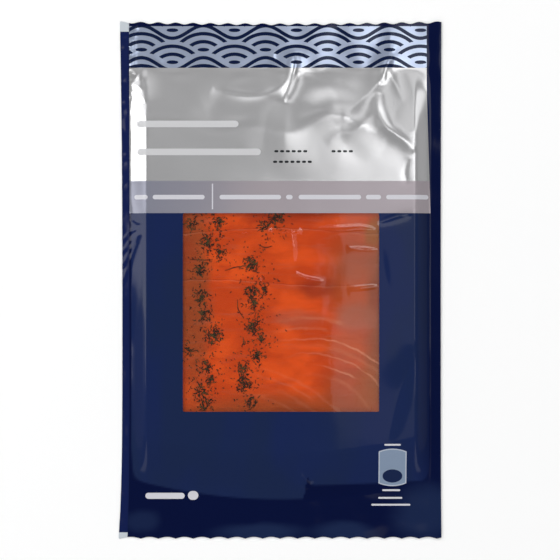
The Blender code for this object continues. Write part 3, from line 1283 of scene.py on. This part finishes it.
@dataclass(frozen=True)
class BackPrint:
    """Print of the back web: navy, with pale ends on the margin that sticks out."""

    navy: Color = (0.005, 0.011, 0.065)
    pale: Color = (0.52, 0.56, 0.60)
    pale_top: float = 122.9
    pale_bottom: float = -124.9
    ior: float = 1.3
    grain: Blobs = Blobs(0.4)
    grain_rough: float = 0.05
    least_rough: float = 0.08
    crinkles: Blobs = Blobs(5.0, 3.0, (1.0, 0.5, 1.0), 0.3)
    relief: float = 0.03

    def material(self) -> bpy.types.Material:
        """Builds the back film.

        Returns:
            The material.
        """
        surface = Surface("back_print")
        ends = surface.y.above(self.pale_top).calc("MAXIMUM", surface.y.below(self.pale_bottom))
        surface.link(surface.mix(ends, self.navy, self.pale), "Base Color")
        surface.link(surface.noise(self.grain) * self.grain_rough + self.least_rough, "Roughness")
        surface.set(ior=self.ior)
        surface.bump(surface.noise(self.crinkles), self.relief)
        return surface.material


@dataclass(frozen=True)
class ClearFilm:
    """Clear unprinted film."""

    tint: Color = (0.985, 0.988, 0.99)
    roughness: float = 0.04
    facing_gloss: float = 0.038
    grazing_gloss: float = 0.5
    grazing_power: float = 5.0
    crinkles: Blobs = Blobs(7.0, 3.0, (1.0, 0.7, 1.0), 0.3)
    relief: float = 0.01

    def material(self) -> bpy.types.Material:
        """Builds the clear film.

        Returns:
            The material.
        """
        surface = Surface("clear_film")
        tree = surface.tree
        clear = tree.nodes.new("ShaderNodeBsdfTransparent")
        clear.inputs["Color"].default_value = (*self.tint, 1.0)
        gloss = tree.nodes.new("ShaderNodeBsdfAnisotropic")
        gloss.inputs["Roughness"].default_value = self.roughness
        facing = tree.nodes.new("ShaderNodeLayerWeight")
        facing.inputs["Blend"].default_value = 0.5
        grazing = Value(tree, facing.outputs["Facing"]).calc("POWER", self.grazing_power)
        share = grazing * self.grazing_gloss + self.facing_gloss
        mixed = tree.nodes.new("ShaderNodeMixShader")
        tree.links.new(share.socket, mixed.inputs["Fac"])
        tree.links.new(clear.outputs[0], mixed.inputs[1])
        tree.links.new(gloss.outputs[0], mixed.inputs[2])
        surface.bump(surface.noise(self.crinkles), self.relief)
        bump = surface.shader.inputs["Normal"].links[0].from_socket
        tree.links.new(bump, gloss.inputs["Normal"])
        tree.nodes.remove(surface.shader)
        tree.links.new(mixed.outputs[0], tree.nodes["Material Output"].inputs["Surface"])
        return surface.material


@dataclass(frozen=True)
class FatLine:
    """Pale line of fat on a circle, which shows most at its right end.

    Attributes:
        centre: Middle of the circle, in millimetres.
        radius: Radius of the circle.
        left: Place across where it starts.
        right: Place across where it ends.
        strength: How pale it is.
        half: Half its width, in millimetres.
        peak: Share of its length at which it is at its palest.
        end_run: Length in which its right end fades.
    """

    centre: Point
    radius: float
    left: float
    right: float
    strength: float
    half: float = 0.8
    peak: float = 0.75
    end_run: float = 5.0

    def mask(self, surface: Surface, warp: Value) -> Value:
        """Builds the line.

        Args:
            surface: Material that gets the line.
            warp: Noise that makes the line uneven, in millimetres.

        Returns:
            The share of the fat's colour.
        """
        across, along = surface.x - self.centre[0], surface.y - self.centre[1]
        radial = (across * across + along * along).calc("SQRT") + warp
        line = abs(radial - self.radius).ramp(self.half, 0.0)
        palest = self.left + self.peak * (self.right - self.left)
        run = surface.x.ramp(self.left, palest) * surface.x.ramp(self.right, self.right - self.end_run)
        return line * run * self.strength


@dataclass(frozen=True)
class SalmonFlesh:
    """Smoked salmon: orange flesh with pale curved lines of fat, a few patches of painted shade and a partly
    painted highlight along the slices' lips.
    """

    orange: Color = (0.58, 0.054, 0.002)
    bright: Color = (0.78, 0.086, 0.005)
    dull: Color = (0.26, 0.060, 0.014)
    red: Color = (0.27, 0.022, 0.004)
    pale: Color = (0.42, 0.12, 0.07)
    brown: Color = (0.30, 0.082, 0.007)
    fat: Color = (0.72, 0.28, 0.15)
    clouds: Blobs = Blobs(24.0, 3.0, (1.0, 1.8, 1.0), 0.4)
    cloud_span: Span = (0.4, 0.66)
    warps: Blobs = Blobs(11.0)
    fibres: Blobs = Blobs(3.2, 4.0, (0.22, 1.6, 1.0), 0.5)
    pale_fibres: Span = (0.5, 0.85)
    red_fibres: Span = (0.45, 0.15)
    fibre_share: float = 0.3
    break_blobs: Blobs = Blobs(6.0)
    break_span: Span = (0.3, 0.6)
    fat_sway: float = 5.0
    rim_span: Span = (0.9, 0.1)
    rim_pale_and_highlight_share: float = 0.2
    fibre_rough: float = 0.1
    least_rough: float = 0.35
    relief: float = 0.08
    relief_shares: Span = (0.6, 0.4)

    def patches(self) -> tuple[Patch, ...]:
        """Patches of other tones that show in the window; three of them are painted shade."""
        return (
            Patch(-43.0, -2.0, 9.0, 60.0, self.dull, 0.75),
            Patch(-46.0, 14.0, 6.0, 9.0, self.red, 0.35),
            Patch(49.5, -20.0, 8.0, 60.0, self.dull, 0.9),
            Patch(2.0, -68.0, 60.0, 13.0, self.dull, 0.7),
            Patch(36.0, -54.0, 18.0, 14.0, self.dull, 0.55),
            Patch(36.0, -33.0, 15.0, 9.0, self.dull, 0.5),
            # The next three are painted shade: along the top slice's upper edge, and the printed film's
            # shadow along the window's right and top edges
            Patch(20.0, -3.5, 12.0, 6.0, self.red, 0.7),
            Patch(47.5, -7.0, 3.6, 10.0, self.red, 0.65),
            Patch(3.0, 31.5, 26.0, 4.0, self.red, 0.4),
            Patch(38.0, -18.5, 12.0, 8.0, self.pale, 0.75),
            Patch(8.0, -18.5, 14.0, 5.0, self.pale, 0.4),
            Patch(38.0, 6.0, 13.0, 8.0, self.pale, 0.45),
            Patch(39.0, 4.0, 17.0, 30.0, self.dull, 0.6),
            Patch(45.5, 23.0, 4.5, 8.0, self.brown, 0.9),
            Patch(44.0, -52.0, 8.0, 14.0, self.brown, 0.4),
        )

    def fat_lines(self) -> tuple[FatLine, ...]:
        """Lines of fat at the lower right of the window."""
        high, low = (13.0, -84.6), (-30.0, -128.0)
        return (
            FatLine(high, 66.0, -10.0, 34.0, 0.25, 1.6),
            FatLine(high, 61.0, -14.0, 26.0, 0.24, 1.2),
            FatLine(high, 56.2, -12.0, 56.0, 0.6, 0.8),
            FatLine(high, 52.4, -8.0, 54.0, 0.14, 1.8),
            FatLine(high, 48.4, -4.0, 52.0, 0.4, 0.8),
            FatLine(high, 43.0, 14.0, 39.0, 0.55, 0.8),
            FatLine(high, 38.0, 4.0, 46.0, 0.16, 1.4),
            FatLine(low, 87.0, -24.0, 34.0, 0.16, 1.3),
            FatLine(low, 83.0, -30.0, 18.0, 0.14, 1.2),
            FatLine(low, 78.5, -22.0, 42.0, 0.15, 1.5),
            FatLine(low, 73.0, -26.0, 26.0, 0.14, 1.3),
        )

    def material(self) -> bpy.types.Material:
        """Builds the flesh.

        Returns:
            The material.
        """
        surface = Surface("salmon_flesh")
        warp = surface.noise(self.warps) - 0.5
        fibre = surface.noise(self.fibres)
        color = surface.mix(surface.noise(self.clouds).ramp(*self.cloud_span), self.orange, self.bright)
        for patch in self.patches():
            color = surface.mix(patch.mask(surface, warp), color, patch.tone)
        color = surface.mix(fibre.ramp(*self.pale_fibres) * self.fibre_share, color, self.pale)
        color = surface.mix(fibre.ramp(*self.red_fibres) * self.fibre_share, color, self.red)
        breaks = surface.noise(self.break_blobs).ramp(*self.break_span) * 0.5 + 0.5
        fat = union(line.mask(surface, warp * self.fat_sway) for line in self.fat_lines()) * breaks
        color = surface.mix(fat, color, self.fat)
        # Pale line along each slice's lip: partly the paler cut edge, partly a painted highlight on its wet
        # edge
        rim = surface.mark("rim").ramp(*self.rim_span) * fibre.ramp(*self.break_span)
        color = surface.mix(rim * breaks * self.rim_pale_and_highlight_share, color, self.fat)
        surface.link(color, "Base Color")
        surface.link(fibre * self.fibre_rough + self.least_rough, "Roughness")
        surface.set(subsurface=0.12, radius=(1.0, 0.3, 0.15), subsurface_scale=0.002, specular=0.1, ior=1.4)
        surface.bump(fibre * self.relief_shares[0] + fat * self.relief_shares[1], self.relief)
        return surface.material


@dataclass(frozen=True)
class DillGreen:
    """Dark chopped dill."""

    dark: Color = (0.016, 0.010, 0.003)
    light: Color = (0.085, 0.056, 0.014)
    tones: Blobs = Blobs(2.5, 2.0)
    tone_span: Span = (0.4, 0.7)
    grain: Blobs = Blobs(0.4, 2.0)
    relief: float = 0.03

    def material(self) -> bpy.types.Material:
        """Builds the dill's surface.

        Returns:
            The material.
        """
        surface = Surface("dill_green")
        tone = surface.noise(self.tones).ramp(*self.tone_span)
        surface.link(surface.mix(tone, self.dark, self.light), "Base Color")
        surface.link(tone * 0.2 + 0.5, "Roughness")
        surface.set(specular=0.1)
        surface.bump(surface.noise(self.grain), self.relief)
        return surface.material


def dress(piece: bpy.types.Object, material: bpy.types.Material, slot: str, *nodes: str) -> bpy.types.Object:
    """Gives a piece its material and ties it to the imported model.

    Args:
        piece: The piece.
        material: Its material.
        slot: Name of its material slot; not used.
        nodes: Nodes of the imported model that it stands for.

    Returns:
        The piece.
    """
    piece.data.materials.clear()
    piece.data.materials.append(material)
    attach(piece, BODY)
    if nodes:
        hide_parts(*nodes)
    LOG.info("%s: %d faces", piece.name, len(piece.data.polygons))
    return piece


@dataclass
class FrontWeb:
    """The front web: printed film with a clear window."""

    outline: Outline
    window: Window
    relief: FilmRelief
    left: float = -74.4
    left_flare: tuple[float, float] = (0.3, 1.1)
    thickness: float = 0.1
    pane_step: float = 0.52

    def build(self) -> list[bpy.types.Object]:
        """Builds the printed web and the clear pane.

        Returns:
            Both pieces.
        """
        grid = WebGrid(self.outline, self.window, self.left, self.left_flare)
        u, v, x, y = grid.points()
        top = self.relief.height(x, y)
        clinging = self.relief.clinging(x, y)
        soften_corners(self.window, x, y)
        bottom = top - self.thickness
        around = ~grid.in_window(u, v)
        printed = closed_shell("printed_front_web", x, y, top, bottom, around, clinging=clinging)
        pane = self.pane()
        dress(printed, FrontPrint().material(), "front_print", "front_film")
        dress(pane, ClearFilm().material(), "clear_film", "window_film")
        return [printed, pane]

    def pane(self) -> bpy.types.Object:
        """Builds the clear part of the web.

        Returns:
            The pane.
        """
        window = self.window
        columns = round((window.right - window.left) / self.pane_step)
        rows = round((window.top - window.bottom) / self.pane_step)
        across = np.linspace(window.left, window.right, columns + 1)
        x, y = np.meshgrid(across, np.linspace(window.bottom, window.top, rows + 1))
        top = self.relief.height(x, y)
        soften_corners(window, x, y)
        keep = np.ones((rows, columns), bool)
        return closed_shell("clear_window_pane", x, y, top, top - self.thickness, keep)


@dataclass
class BackWeb:
    """The flat back web, which shows as a margin on the left."""

    outline: Outline
    window: Window
    left: float = -78.0
    left_flare: tuple[float, float] = (1.2, 1.9)
    thickness: float = 0.2
    row_step: float = 1.0
    margin: float = 3.4
    lift: float = 0.12
    waves: Undulation = Undulation(9, 5.0, 14.0, 0.7)
    highest_wave: float = 2.0
    highest_pleat: float = 0.5

    def build(self) -> bpy.types.Object:
        """Builds the web with its slightly uneven margin.

        Returns:
            The piece.
        """
        grid = WebGrid(self.outline, self.window, self.left, self.left_flare, row_step=self.row_step)
        u, _, x, y = grid.points()
        margin = smooth(1 - (u - self.left) / self.margin)
        waves = self.lift * margin * np.minimum(self.waves.creased(x, y), self.highest_wave)
        lift = EdgeLift().at(x, y)
        for fold in LEFT_PLEATS:
            lift = lift + margin * np.minimum(fold.lift(x, y), self.highest_pleat)
        top, bottom = self.thickness + waves + lift, waves + lift
        keep = np.ones((x.shape[0] - 1, x.shape[1] - 1), bool)
        web = closed_shell("back_web", x, y, top, bottom, keep)
        return dress(web, BackPrint().material(), "back_print", "back_film")


@dataclass(frozen=True)
class Shingle:
    """How the slices lie on each other, and the height of their faces."""

    lips: tuple[float, ...] = (45.0, 24.0, -1.5)
    end: float = -84.0
    left: float = -57.0
    right: float = 58.0
    floor: float = 0.5
    top: float = 4.55
    fall: float = 0.7
    overlap: float = 12.0
    overlap_fall: float = 1.7
    drop_run: float = 5.0
    gap: float = 0.3
    bow: float = 1.6
    wander: float = 1.3
    lip_shift: float = 1.7
    fray: float = 0.22
    fray_lengths: Span = (1.9, 5.3)
    side_lengths: Span = (7.5, 17.0)
    side_shifts: Span = (9.0, 31.0)
    side_share: float = 0.6
    ripple: float = 0.1
    ripple_lengths: Triple = (8.5, 6.5, 21.0)

    def lip(self, index: int, x: np.ndarray) -> np.ndarray:
        """Place of a slice's upper edge.

        Args:
            index: Number of the slice, from the lowest in the shingle.
            x: Places across.

        Returns:
            The edge's place along the pack.
        """
        short, long = self.fray_lengths
        fray = self.fray * np.sin(x / short + index) * np.sin(x / long)
        return self.lips[index] + self.bow * np.sin(x * np.pi / self.right + self.lip_shift * index) + fray

    def lower_edge(self, index: int, x: np.ndarray) -> np.ndarray:
        """Place of a slice's lower edge.

        Args:
            index: Number of the slice.
            x: Places across.

        Returns:
            The edge's place along the pack.
        """
        if index + 1 < len(self.lips):
            return self.lip(index + 1, x) - self.overlap + 2 * self.gap
        return self.end + self.bow * np.cos(x * np.pi / self.right)

    def side(self, edge: float, y: np.ndarray) -> np.ndarray:
        """Place of a slice's side edge.

        Args:
            edge: Mean place of the edge.
            y: Places along.

        Returns:
            The edge's place across the pack.
        """
        plan = zip(self.side_lengths, self.side_shifts)
        short, long = (np.sin(y / run + edge / shift) for run, shift in plan)
        return edge + self.wander * (short + self.side_share * long)

    def upper_face(self, index: int, x: np.ndarray, y: np.ndarray) -> np.ndarray:
        """Height of a slice's upper face.

        Args:
            index: Number of the slice.
            x: Places across.
            y: Places along.

        Returns:
            The heights.
        """
        below_lip = (self.lip(index, x) - y) / (self.lips[0] - self.lips[1])
        height = self.top - self.fall * clamp(below_lip)
        if index + 1 < len(self.lips):
            height = height - self.overlap_fall * clamp((self.lip(index + 1, x) - y) / self.overlap)
        across, along, turn = self.ripple_lengths
        return height + self.ripple * np.sin(x / across) * np.cos(y / along + x / turn)

    def lower_face(self, index: int, x: np.ndarray, y: np.ndarray) -> np.ndarray:
        """Height of a slice's lower face.

        Args:
            index: Number of the slice.
            x: Places across.
            y: Places along.

        Returns:
            The heights.
        """
        if index == 0:
            return np.full(x.shape, self.floor)
        carried = self.upper_face(index - 1, x, y) + self.gap / 2
        down = clamp((self.lip(index, x) - y - self.overlap) / self.drop_run)
        return carried + (self.floor - carried) * down

    def shown(self, x: float, y: float) -> int:
        """Number of the slice that shows at a place.

        Args:
            x: Place across.
            y: Place along.

        Returns:
            The slice's number.
        """
        covering = [i for i in range(len(self.lips)) if y < float(self.lip(i, np.array(x)))]
        return covering[-1] if covering else 0


@dataclass
class SalmonSlices:
    """The three slices of salmon."""

    shingle: Shingle
    columns: int = 150
    row_step: float = 0.75
    round_edge: float = 0.7
    round_share: float = 0.6
    thinnest: float = 0.15

    def build(self) -> list[bpy.types.Object]:
        """Builds the slices.

        Returns:
            The pieces, from the lowest in the shingle.
        """
        material = SalmonFlesh().material()
        made = []
        for index in range(len(self.shingle.lips)):
            piece = self.slice(index)
            made.append(dress(piece, material, "salmon", f"salmon_slice_{index + 1}"))
        return made

    def slice(self, index: int) -> bpy.types.Object:
        """Builds one slice with rounded rims.

        Args:
            index: Number of the slice.

        Returns:
            The slice.
        """
        form = self.shingle
        length = form.lips[index] - float(form.lower_edge(index, np.array(0.0)))
        rows = round(length / self.row_step)
        share_x, share_y = np.meshgrid(np.linspace(0, 1, self.columns), np.linspace(0, 1, rows))
        across = form.left + (form.right - form.left) * share_x
        low, high = form.lower_edge(index, across), form.lip(index, across)
        y = low + (high - low) * share_y
        x = form.side(form.left, y) * (1 - share_x) + form.side(form.right, y) * share_x
        top = form.upper_face(index, x, y)
        bottom = form.lower_face(index, x, y)
        rim = np.minimum(np.minimum(high - y, y - low), np.minimum(x - x[:, :1], x[:, -1:] - x))
        t = 1 - clamp(rim / self.round_edge)
        drop = self.round_edge * (1 - np.sqrt(np.maximum(1 - t**2, 0)))
        top = np.maximum(top - drop * self.round_share, bottom + self.thinnest)
        keep = np.ones((rows - 1, self.columns - 1), bool)
        return closed_shell(f"slice_{index + 1}", x, y, top, bottom, keep, rim=high - y)


@dataclass(frozen=True)
class Clump:
    """A clump of dill.

    Attributes:
        x: Place across.
        y: Place along.
        radius: Size of the clump, in millimetres.
    """

    x: float
    y: float
    radius: float


@dataclass
class DillSprinkle:
    """Chopped dill in two bands, with a few loose stems."""

    shingle: Shingle
    seed: int = 21
    needles_per_area: float = 3.5
    loose: int = 1100
    sink: float = 0.02
    spread: Span = (3.6, 5.0)
    crowding: float = 0.7
    longest: Span = (2.2, 1.5)
    shortest_share: float = 0.25
    most_bend: float = 1.3
    needle_steps: int = 4
    half_widths: Span = (0.17, 0.28)
    loose_share: float = 0.85
    stem_half: float = 0.2
    stem_steps: int = 4
    taper: float = 0.6
    sides: int = 5

    def clumps(self) -> tuple[Clump, ...]:
        """Places of the clumps in both bands.

        Returns:
            The clumps.
        """
        left = (
            (-44.0, 28.0, 2.6), (-31.0, 29.0, 3.4), (-35.5, 18.0, 4.0), (-29.5, 14.0, 2.4), (-39.0, 4.5, 3.2),
            (-38.5, -8.0, 3.4), (-37.0, -17.5, 3.0), (-33.0, -27.5, 4.8), (-45.0, -35.0, 2.0),
            (-36.0, -42.5, 2.8), (-34.0, -49.0, 2.4), (-39.5, -55.0, 3.0), (-36.5, -61.0, 3.8),
        )
        right = (
            (-1.5, 30.5, 3.6), (-7.0, 27.0, 2.6), (-14.5, 8.0, 4.4), (-8.0, -5.0, 2.6), (-14.0, -5.5, 3.6),
            (-13.0, -12.0, 2.6), (-13.5, -23.0, 4.2), (-8.5, -28.5, 2.2), (-12.0, -37.5, 2.8),
            (-18.5, -44.0, 2.8), (-18.0, -51.5, 4.0), (-14.0, -59.5, 3.2),
        )
        return tuple(Clump(*values) for values in left + right)

    def stems(self) -> tuple[tuple[Point, ...], ...]:
        """Lines of the loose stems, in millimetres.

        Returns:
            The points of each stem.
        """
        return (
            ((-11.3, 23.9), (-8.5, 25.8), (-4.8, 26.9)),
            ((-27.2, 4.6), (-22.5, 6.2), (-18.2, 6.9)),
            ((-44.6, 10.2), (-39.0, 9.9), (-33.2, 10.0)),
            ((-21.0, -9.5), (-20.6, -14.5), (-17.8, -19.0)),
            ((-18.4, -28.0), (-17.8, -30.5), (-19.0, -32.6)),
            ((-47.6, -33.0), (-44.4, -35.2), (-40.6, -34.6)),
            ((-44.4, -35.2), (-47.4, -38.4)),
            ((-10.6, 17.5), (-7.4, 16.0), (-3.8, 16.8)),
        )

    def needle(self, rng: random.Random, x: float, y: float, long: float) -> tuple[list[Point], float]:
        """One bent needle.

        Args:
            rng: Source of the random draws.
            x: Place across of its start.
            y: Place along of its start.
            long: Longest length, in millimetres.

        Returns:
            Its points and its half width.
        """
        heading = rng.uniform(0, 2 * math.pi)
        length = rng.uniform(self.shortest_share, 1.0) * long
        bend = rng.uniform(-self.most_bend, self.most_bend)
        steps = self.needle_steps
        points = []
        for i in range(steps + 1):
            points.append((x, y))
            turned = heading + bend * i / steps
            x += length / steps * math.cos(turned)
            y += length / steps * math.sin(turned)
        return points, rng.uniform(*self.half_widths)

    def paths(self) -> list[tuple[list[Point], float]]:
        """All needles and stems.

        Returns:
            The points and the half width of each.
        """
        rng = random.Random(self.seed)
        found = [(curve_through(stem, self.stem_steps).tolist(), self.stem_half) for stem in self.stems()]
        in_clump, loose = self.longest
        for clump in self.clumps():
            for _ in range(round(clump.radius**2 * self.needles_per_area)):
                away = rng.uniform(0, 1) ** self.crowding * clump.radius
                turn = rng.uniform(0, 2 * math.pi)
                x, y = clump.x + away * math.cos(turn), clump.y + away * math.sin(turn)
                found.append(self.needle(rng, x, y, in_clump))
        for _ in range(self.loose):
            near = rng.choice(self.clumps())
            x, y = near.x + rng.gauss(0, self.spread[0]), near.y + rng.gauss(0, self.spread[1])
            points, half = self.needle(rng, x, y, loose)
            found.append((points, half * self.loose_share))
        return found

    def build(self) -> bpy.types.Object:
        """Builds all the dill as one piece.

        Returns:
            The piece.
        """
        verts, edges, thick = [], [], []
        for points, half in self.paths():
            for number, (x, y) in enumerate(points):
                index = self.shingle.shown(x, y)
                z = float(self.shingle.upper_face(index, np.array(x), np.array(y)))
                if number:
                    edges.append((len(verts) - 1, len(verts)))
                verts.append((x * MM, y * MM, (z + half - self.sink) * MM))
                end = abs(2 * number / (len(points) - 1) - 1)
                thick.append(half * MM * (1 - self.taper * end**2))
        mesh = bpy.data.meshes.new("dill_lines")
        mesh.from_pydata(verts, edges, [])
        mesh.attributes.new("thick", "FLOAT", "POINT").data.foreach_set("value", thick)
        lines = bpy.data.objects.new("dill_lines", mesh)
        bpy.context.scene.collection.objects.link(lines)
        material = DillGreen().material()
        dill = swept(lines, "dill", self.sides, material)
        return dress(dill, material, "dill")


def sweep_tree() -> bpy.types.NodeTree:
    """Geometry nodes that sweep a round section along every line of a mesh.

    Returns:
        The tree, with the section's sides and the material as inputs.
    """
    tree = bpy.data.node_groups.new("sweep_lines", "GeometryNodeTree")
    face = tree.interface
    face.new_socket("Geometry", in_out="INPUT", socket_type="NodeSocketGeometry")
    face.new_socket("Sides", in_out="INPUT", socket_type="NodeSocketInt")
    face.new_socket("Material", in_out="INPUT", socket_type="NodeSocketMaterial")
    face.new_socket("Geometry", in_out="OUTPUT", socket_type="NodeSocketGeometry")
    given = tree.nodes.new("NodeGroupInput")
    result = tree.nodes.new("NodeGroupOutput")
    lines = tree.nodes.new("GeometryNodeMeshToCurve")
    radius = tree.nodes.new("GeometryNodeSetCurveRadius")
    thick = tree.nodes.new("GeometryNodeInputNamedAttribute")
    thick.data_type = "FLOAT"
    thick.inputs["Name"].default_value = "thick"
    section = tree.nodes.new("GeometryNodeCurvePrimitiveCircle")
    section.inputs["Radius"].default_value = 1.0
    sweep = tree.nodes.new("GeometryNodeCurveToMesh")
    sweep.inputs["Fill Caps"].default_value = True
    real = tree.nodes.new("GeometryNodeRealizeInstances")
    shade = tree.nodes.new("GeometryNodeSetShadeSmooth")
    painted = tree.nodes.new("GeometryNodeSetMaterial")
    link = tree.links.new
    link(given.outputs["Geometry"], lines.inputs["Mesh"])
    link(lines.outputs["Curve"], radius.inputs["Curve"])
    link(thick.outputs["Attribute"], radius.inputs["Radius"])
    link(given.outputs["Sides"], section.inputs["Resolution"])
    link(radius.outputs["Curve"], sweep.inputs["Curve"])
    link(section.outputs["Curve"], sweep.inputs["Profile Curve"])
    if "Scale" in sweep.inputs:
        link(thick.outputs["Attribute"], sweep.inputs["Scale"])
    link(sweep.outputs["Mesh"], real.inputs["Geometry"])
    link(real.outputs["Geometry"], shade.inputs["Geometry"])
    link(shade.outputs["Geometry"], painted.inputs["Geometry"])
    link(given.outputs["Material"], painted.inputs["Material"])
    link(painted.outputs["Geometry"], result.inputs["Geometry"])
    return tree


def swept(lines: bpy.types.Object, name: str, sides: int, material: bpy.types.Material) -> bpy.types.Object:
    """Sweeps a section along an object's lines and keeps the result as a plain mesh.

    Args:
        lines: Object with the lines; it is removed.
        name: Name of the new object.
        sides: Sides of the section.
        material: Material of the new object.

    Returns:
        The new object.
    """
    tree = sweep_tree()
    modifier = lines.modifiers.new("sweep", "NODES")
    modifier.node_group = tree
    sockets = {item.name: item.identifier for item in tree.interface.items_tree if item.in_out == "INPUT"}
    modifier[sockets["Sides"]] = sides
    modifier[sockets["Material"]] = material
    evaluated = lines.evaluated_get(bpy.context.evaluated_depsgraph_get())
    mesh = bpy.data.meshes.new_from_object(evaluated)
    mesh.name = name
    bpy.data.objects.remove(lines)
    obj = bpy.data.objects.new(name, mesh)
    bpy.context.scene.collection.objects.link(obj)
    return obj


@dataclass(frozen=True)
class SoftBox:
    """One area light.

    Attributes:
        name: Name of the light.
        place: Its middle, in metres.
        size: Its width and height, in metres.
        glow: Brightness of its face.
        target: Point that it faces, in metres.
    """

    name: str
    place: Triple
    size: Span
    glow: float
    target: Triple = (0.0, 0.0, 0.0)

    def build(self) -> bpy.types.Object:
        """Adds the light.

        Returns:
            The light.
        """
        data = bpy.data.lights.new(self.name, "AREA")
        data.shape = "RECTANGLE"
        data.size, data.size_y = self.size
        data.energy = self.glow * math.pi * self.size[0] * self.size[1]
        light = bpy.data.objects.new(self.name, data)
        light.location = self.place
        facing = Vector(self.target) - Vector(self.place)
        light.rotation_euler = facing.to_track_quat("-Z", "Y").to_euler()
        light.visible_camera = False
        bpy.context.scene.collection.objects.link(light)
        return light


@dataclass(frozen=True)
class Sky:
    """Soft light all round: dim overhead, brighter in a broad ring, with a gap towards each side."""

    overhead: float = 0.15
    ring: float = 1.3
    low: float = 0.32
    ring_low: Span = (0.34, 0.44)
    ring_high: Span = (0.86, 0.92)
    lengthways_dip: float = 0.1
    right_gap: Span = (-0.7, 0.2)
    left_gap: Span = (-0.7, -0.06)
    gap_edge: float = 0.06

    def build(self) -> bpy.types.World:
        """Builds the world that lights the pack.

        Returns:
            The world.
        """
        world = bpy.data.worlds.new("studio")
        world.use_nodes = True
        tree = world.node_tree
        coordinates = tree.nodes.new("ShaderNodeTexCoord")
        parts = tree.nodes.new("ShaderNodeSeparateXYZ")
        tree.links.new(coordinates.outputs["Generated"], parts.inputs[0])
        x, y, z = (Value(tree, out) for out in parts.outputs)
        slant = y / (abs(x) + 0.001)
        right = x.above(0.0) * self.gap(slant, self.right_gap)
        left = x.below(0.0) * self.gap(slant, self.left_gap)
        lengthways = y * y / (x * x + y * y + 0.001)
        raised = z + lengthways * self.lengthways_dip
        ring = z.ramp(*self.ring_low) * (raised.ramp(*self.ring_high) * -1.0 + 1.0)
        ring = ring * (right * -1.0 + 1.0) * (left * -1.0 + 1.0)
        near_floor = z.ramp(self.ring_low[1], self.ring_low[0])
        glow = ring * (self.ring - self.overhead) + near_floor * (self.low - self.overhead) + self.overhead
        tree.links.new(glow.socket, tree.nodes["Background"].inputs["Strength"])
        tree.nodes["Background"].inputs["Color"].default_value = (1.0, 1.0, 1.0, 1.0)
        return world

    def gap(self, slant: Value, span: Span) -> Value:
        """Builds one gap in the ring.

        Args:
            slant: How far forwards or backwards a direction leads, as a share of how far it leads aside.
            span: Slants between which the gap lies.

        Returns:
            1 inside the gap.
        """
        low, high = span
        return slant.ramp(low - self.gap_edge, low) * slant.ramp(high + self.gap_edge, high)


@dataclass
class Studio:
    """Pale floor, soft lights and the camera above."""

    sky: Sky = Sky()
    lens: float = 200.0
    camera_height: float = 1.54
    floor_half: float = 4.0
    floor_white: Color = (0.94, 0.94, 0.94)
    floor_z: float = -0.0001

    def boxes(self) -> tuple[SoftBox, ...]:
        """The studio's lights.

        Returns:
            The lights.
        """
        return (
            SoftBox("left_softbox", (-1.2, 0.235, 0.8), (0.57, 1.2), 2.5),
            SoftBox("back_left_softbox", (-0.77, 1.9, 1.6), (1.0, 0.7), 4.0),
            SoftBox("back_right_softbox", (0.77, 1.9, 1.6), (1.0, 0.7), 4.0),
            SoftBox("front_left_softbox", (-1.1, -2.0, 1.2), (1.6, 1.1), 0.9),
            SoftBox("front_right_softbox", (1.1, -2.0, 1.2), (1.6, 1.1), 0.9),
            *self.hanging_boxes(),
        )

    def hanging_boxes(self) -> list[SoftBox]:
        """The lights that hang over the pack and face straight down.

        Returns:
            The lights, which the folds of the silver field mirror.
        """
        plan = (
            ("overhead_strip", (0.2525, -0.1375, 2.2), (0.335, 0.175), 0.56),
            ("middle_strip", (0.257, 0.04, 2.2), (0.326, 0.18), 0.56),
            ("facet_strip", (0.2525, 0.235, 2.2), (0.335, 0.21), 2.6),
            ("ridge_strip", (0.7, 0.2, 2.2), (0.52, 0.6), 2.1),
            ("overhead_left", (-0.3, 0.35, 2.3), (0.25, 0.3), 0.32),
            ("top_right_strip", (0.3, 0.95, 2.2), (0.3, 0.9), 0.85),
            ("top_left_strip", (-0.3, 0.95, 2.2), (0.3, 0.16), 0.45),
        )
        return [SoftBox(name, place, size, glow, (*place[:2], 0.0)) for name, place, size, glow in plan]

    def build(self) -> None:
        """Adds the floor, the world, the lights and the camera."""
        scene = bpy.context.scene
        half = self.floor_half
        mesh = bpy.data.meshes.new("floor")
        corners = ((-half, -half, 0), (half, -half, 0), (half, half, 0), (-half, half, 0))
        mesh.from_pydata(corners, [], [(0, 1, 2, 3)])
        floor = bpy.data.objects.new("floor", mesh)
        floor.location.z = self.floor_z
        scene.collection.objects.link(floor)
        surface = Surface("floor_white")
        surface.set(base_color=self.floor_white, roughness=0.9, specular=0.1)
        mesh.materials.append(surface.material)
        scene.world = self.sky.build()
        for box in self.boxes():
            box.build()
        camera = bpy.data.objects.new("camera", bpy.data.cameras.new("camera"))
        camera.data.lens = self.lens
        camera.location = (0.0, 0.0, self.camera_height)
        scene.collection.objects.link(camera)
        scene.camera = camera
        scene.view_settings.view_transform = "Standard"


def main() -> None:
    """Builds the pack's pieces in order, and then the studio."""
    logging.basicConfig(level=logging.INFO)
    outline, window = Outline(), Window()
    BackWeb(outline, window).build()
    shingle = Shingle()
    SalmonSlices(shingle).build()
    DillSprinkle(shingle).build()
    FrontWeb(outline, window, FilmRelief(FRONT_FOLDS)).build()
    Studio().build()


if __name__ == "__main__":
    main()
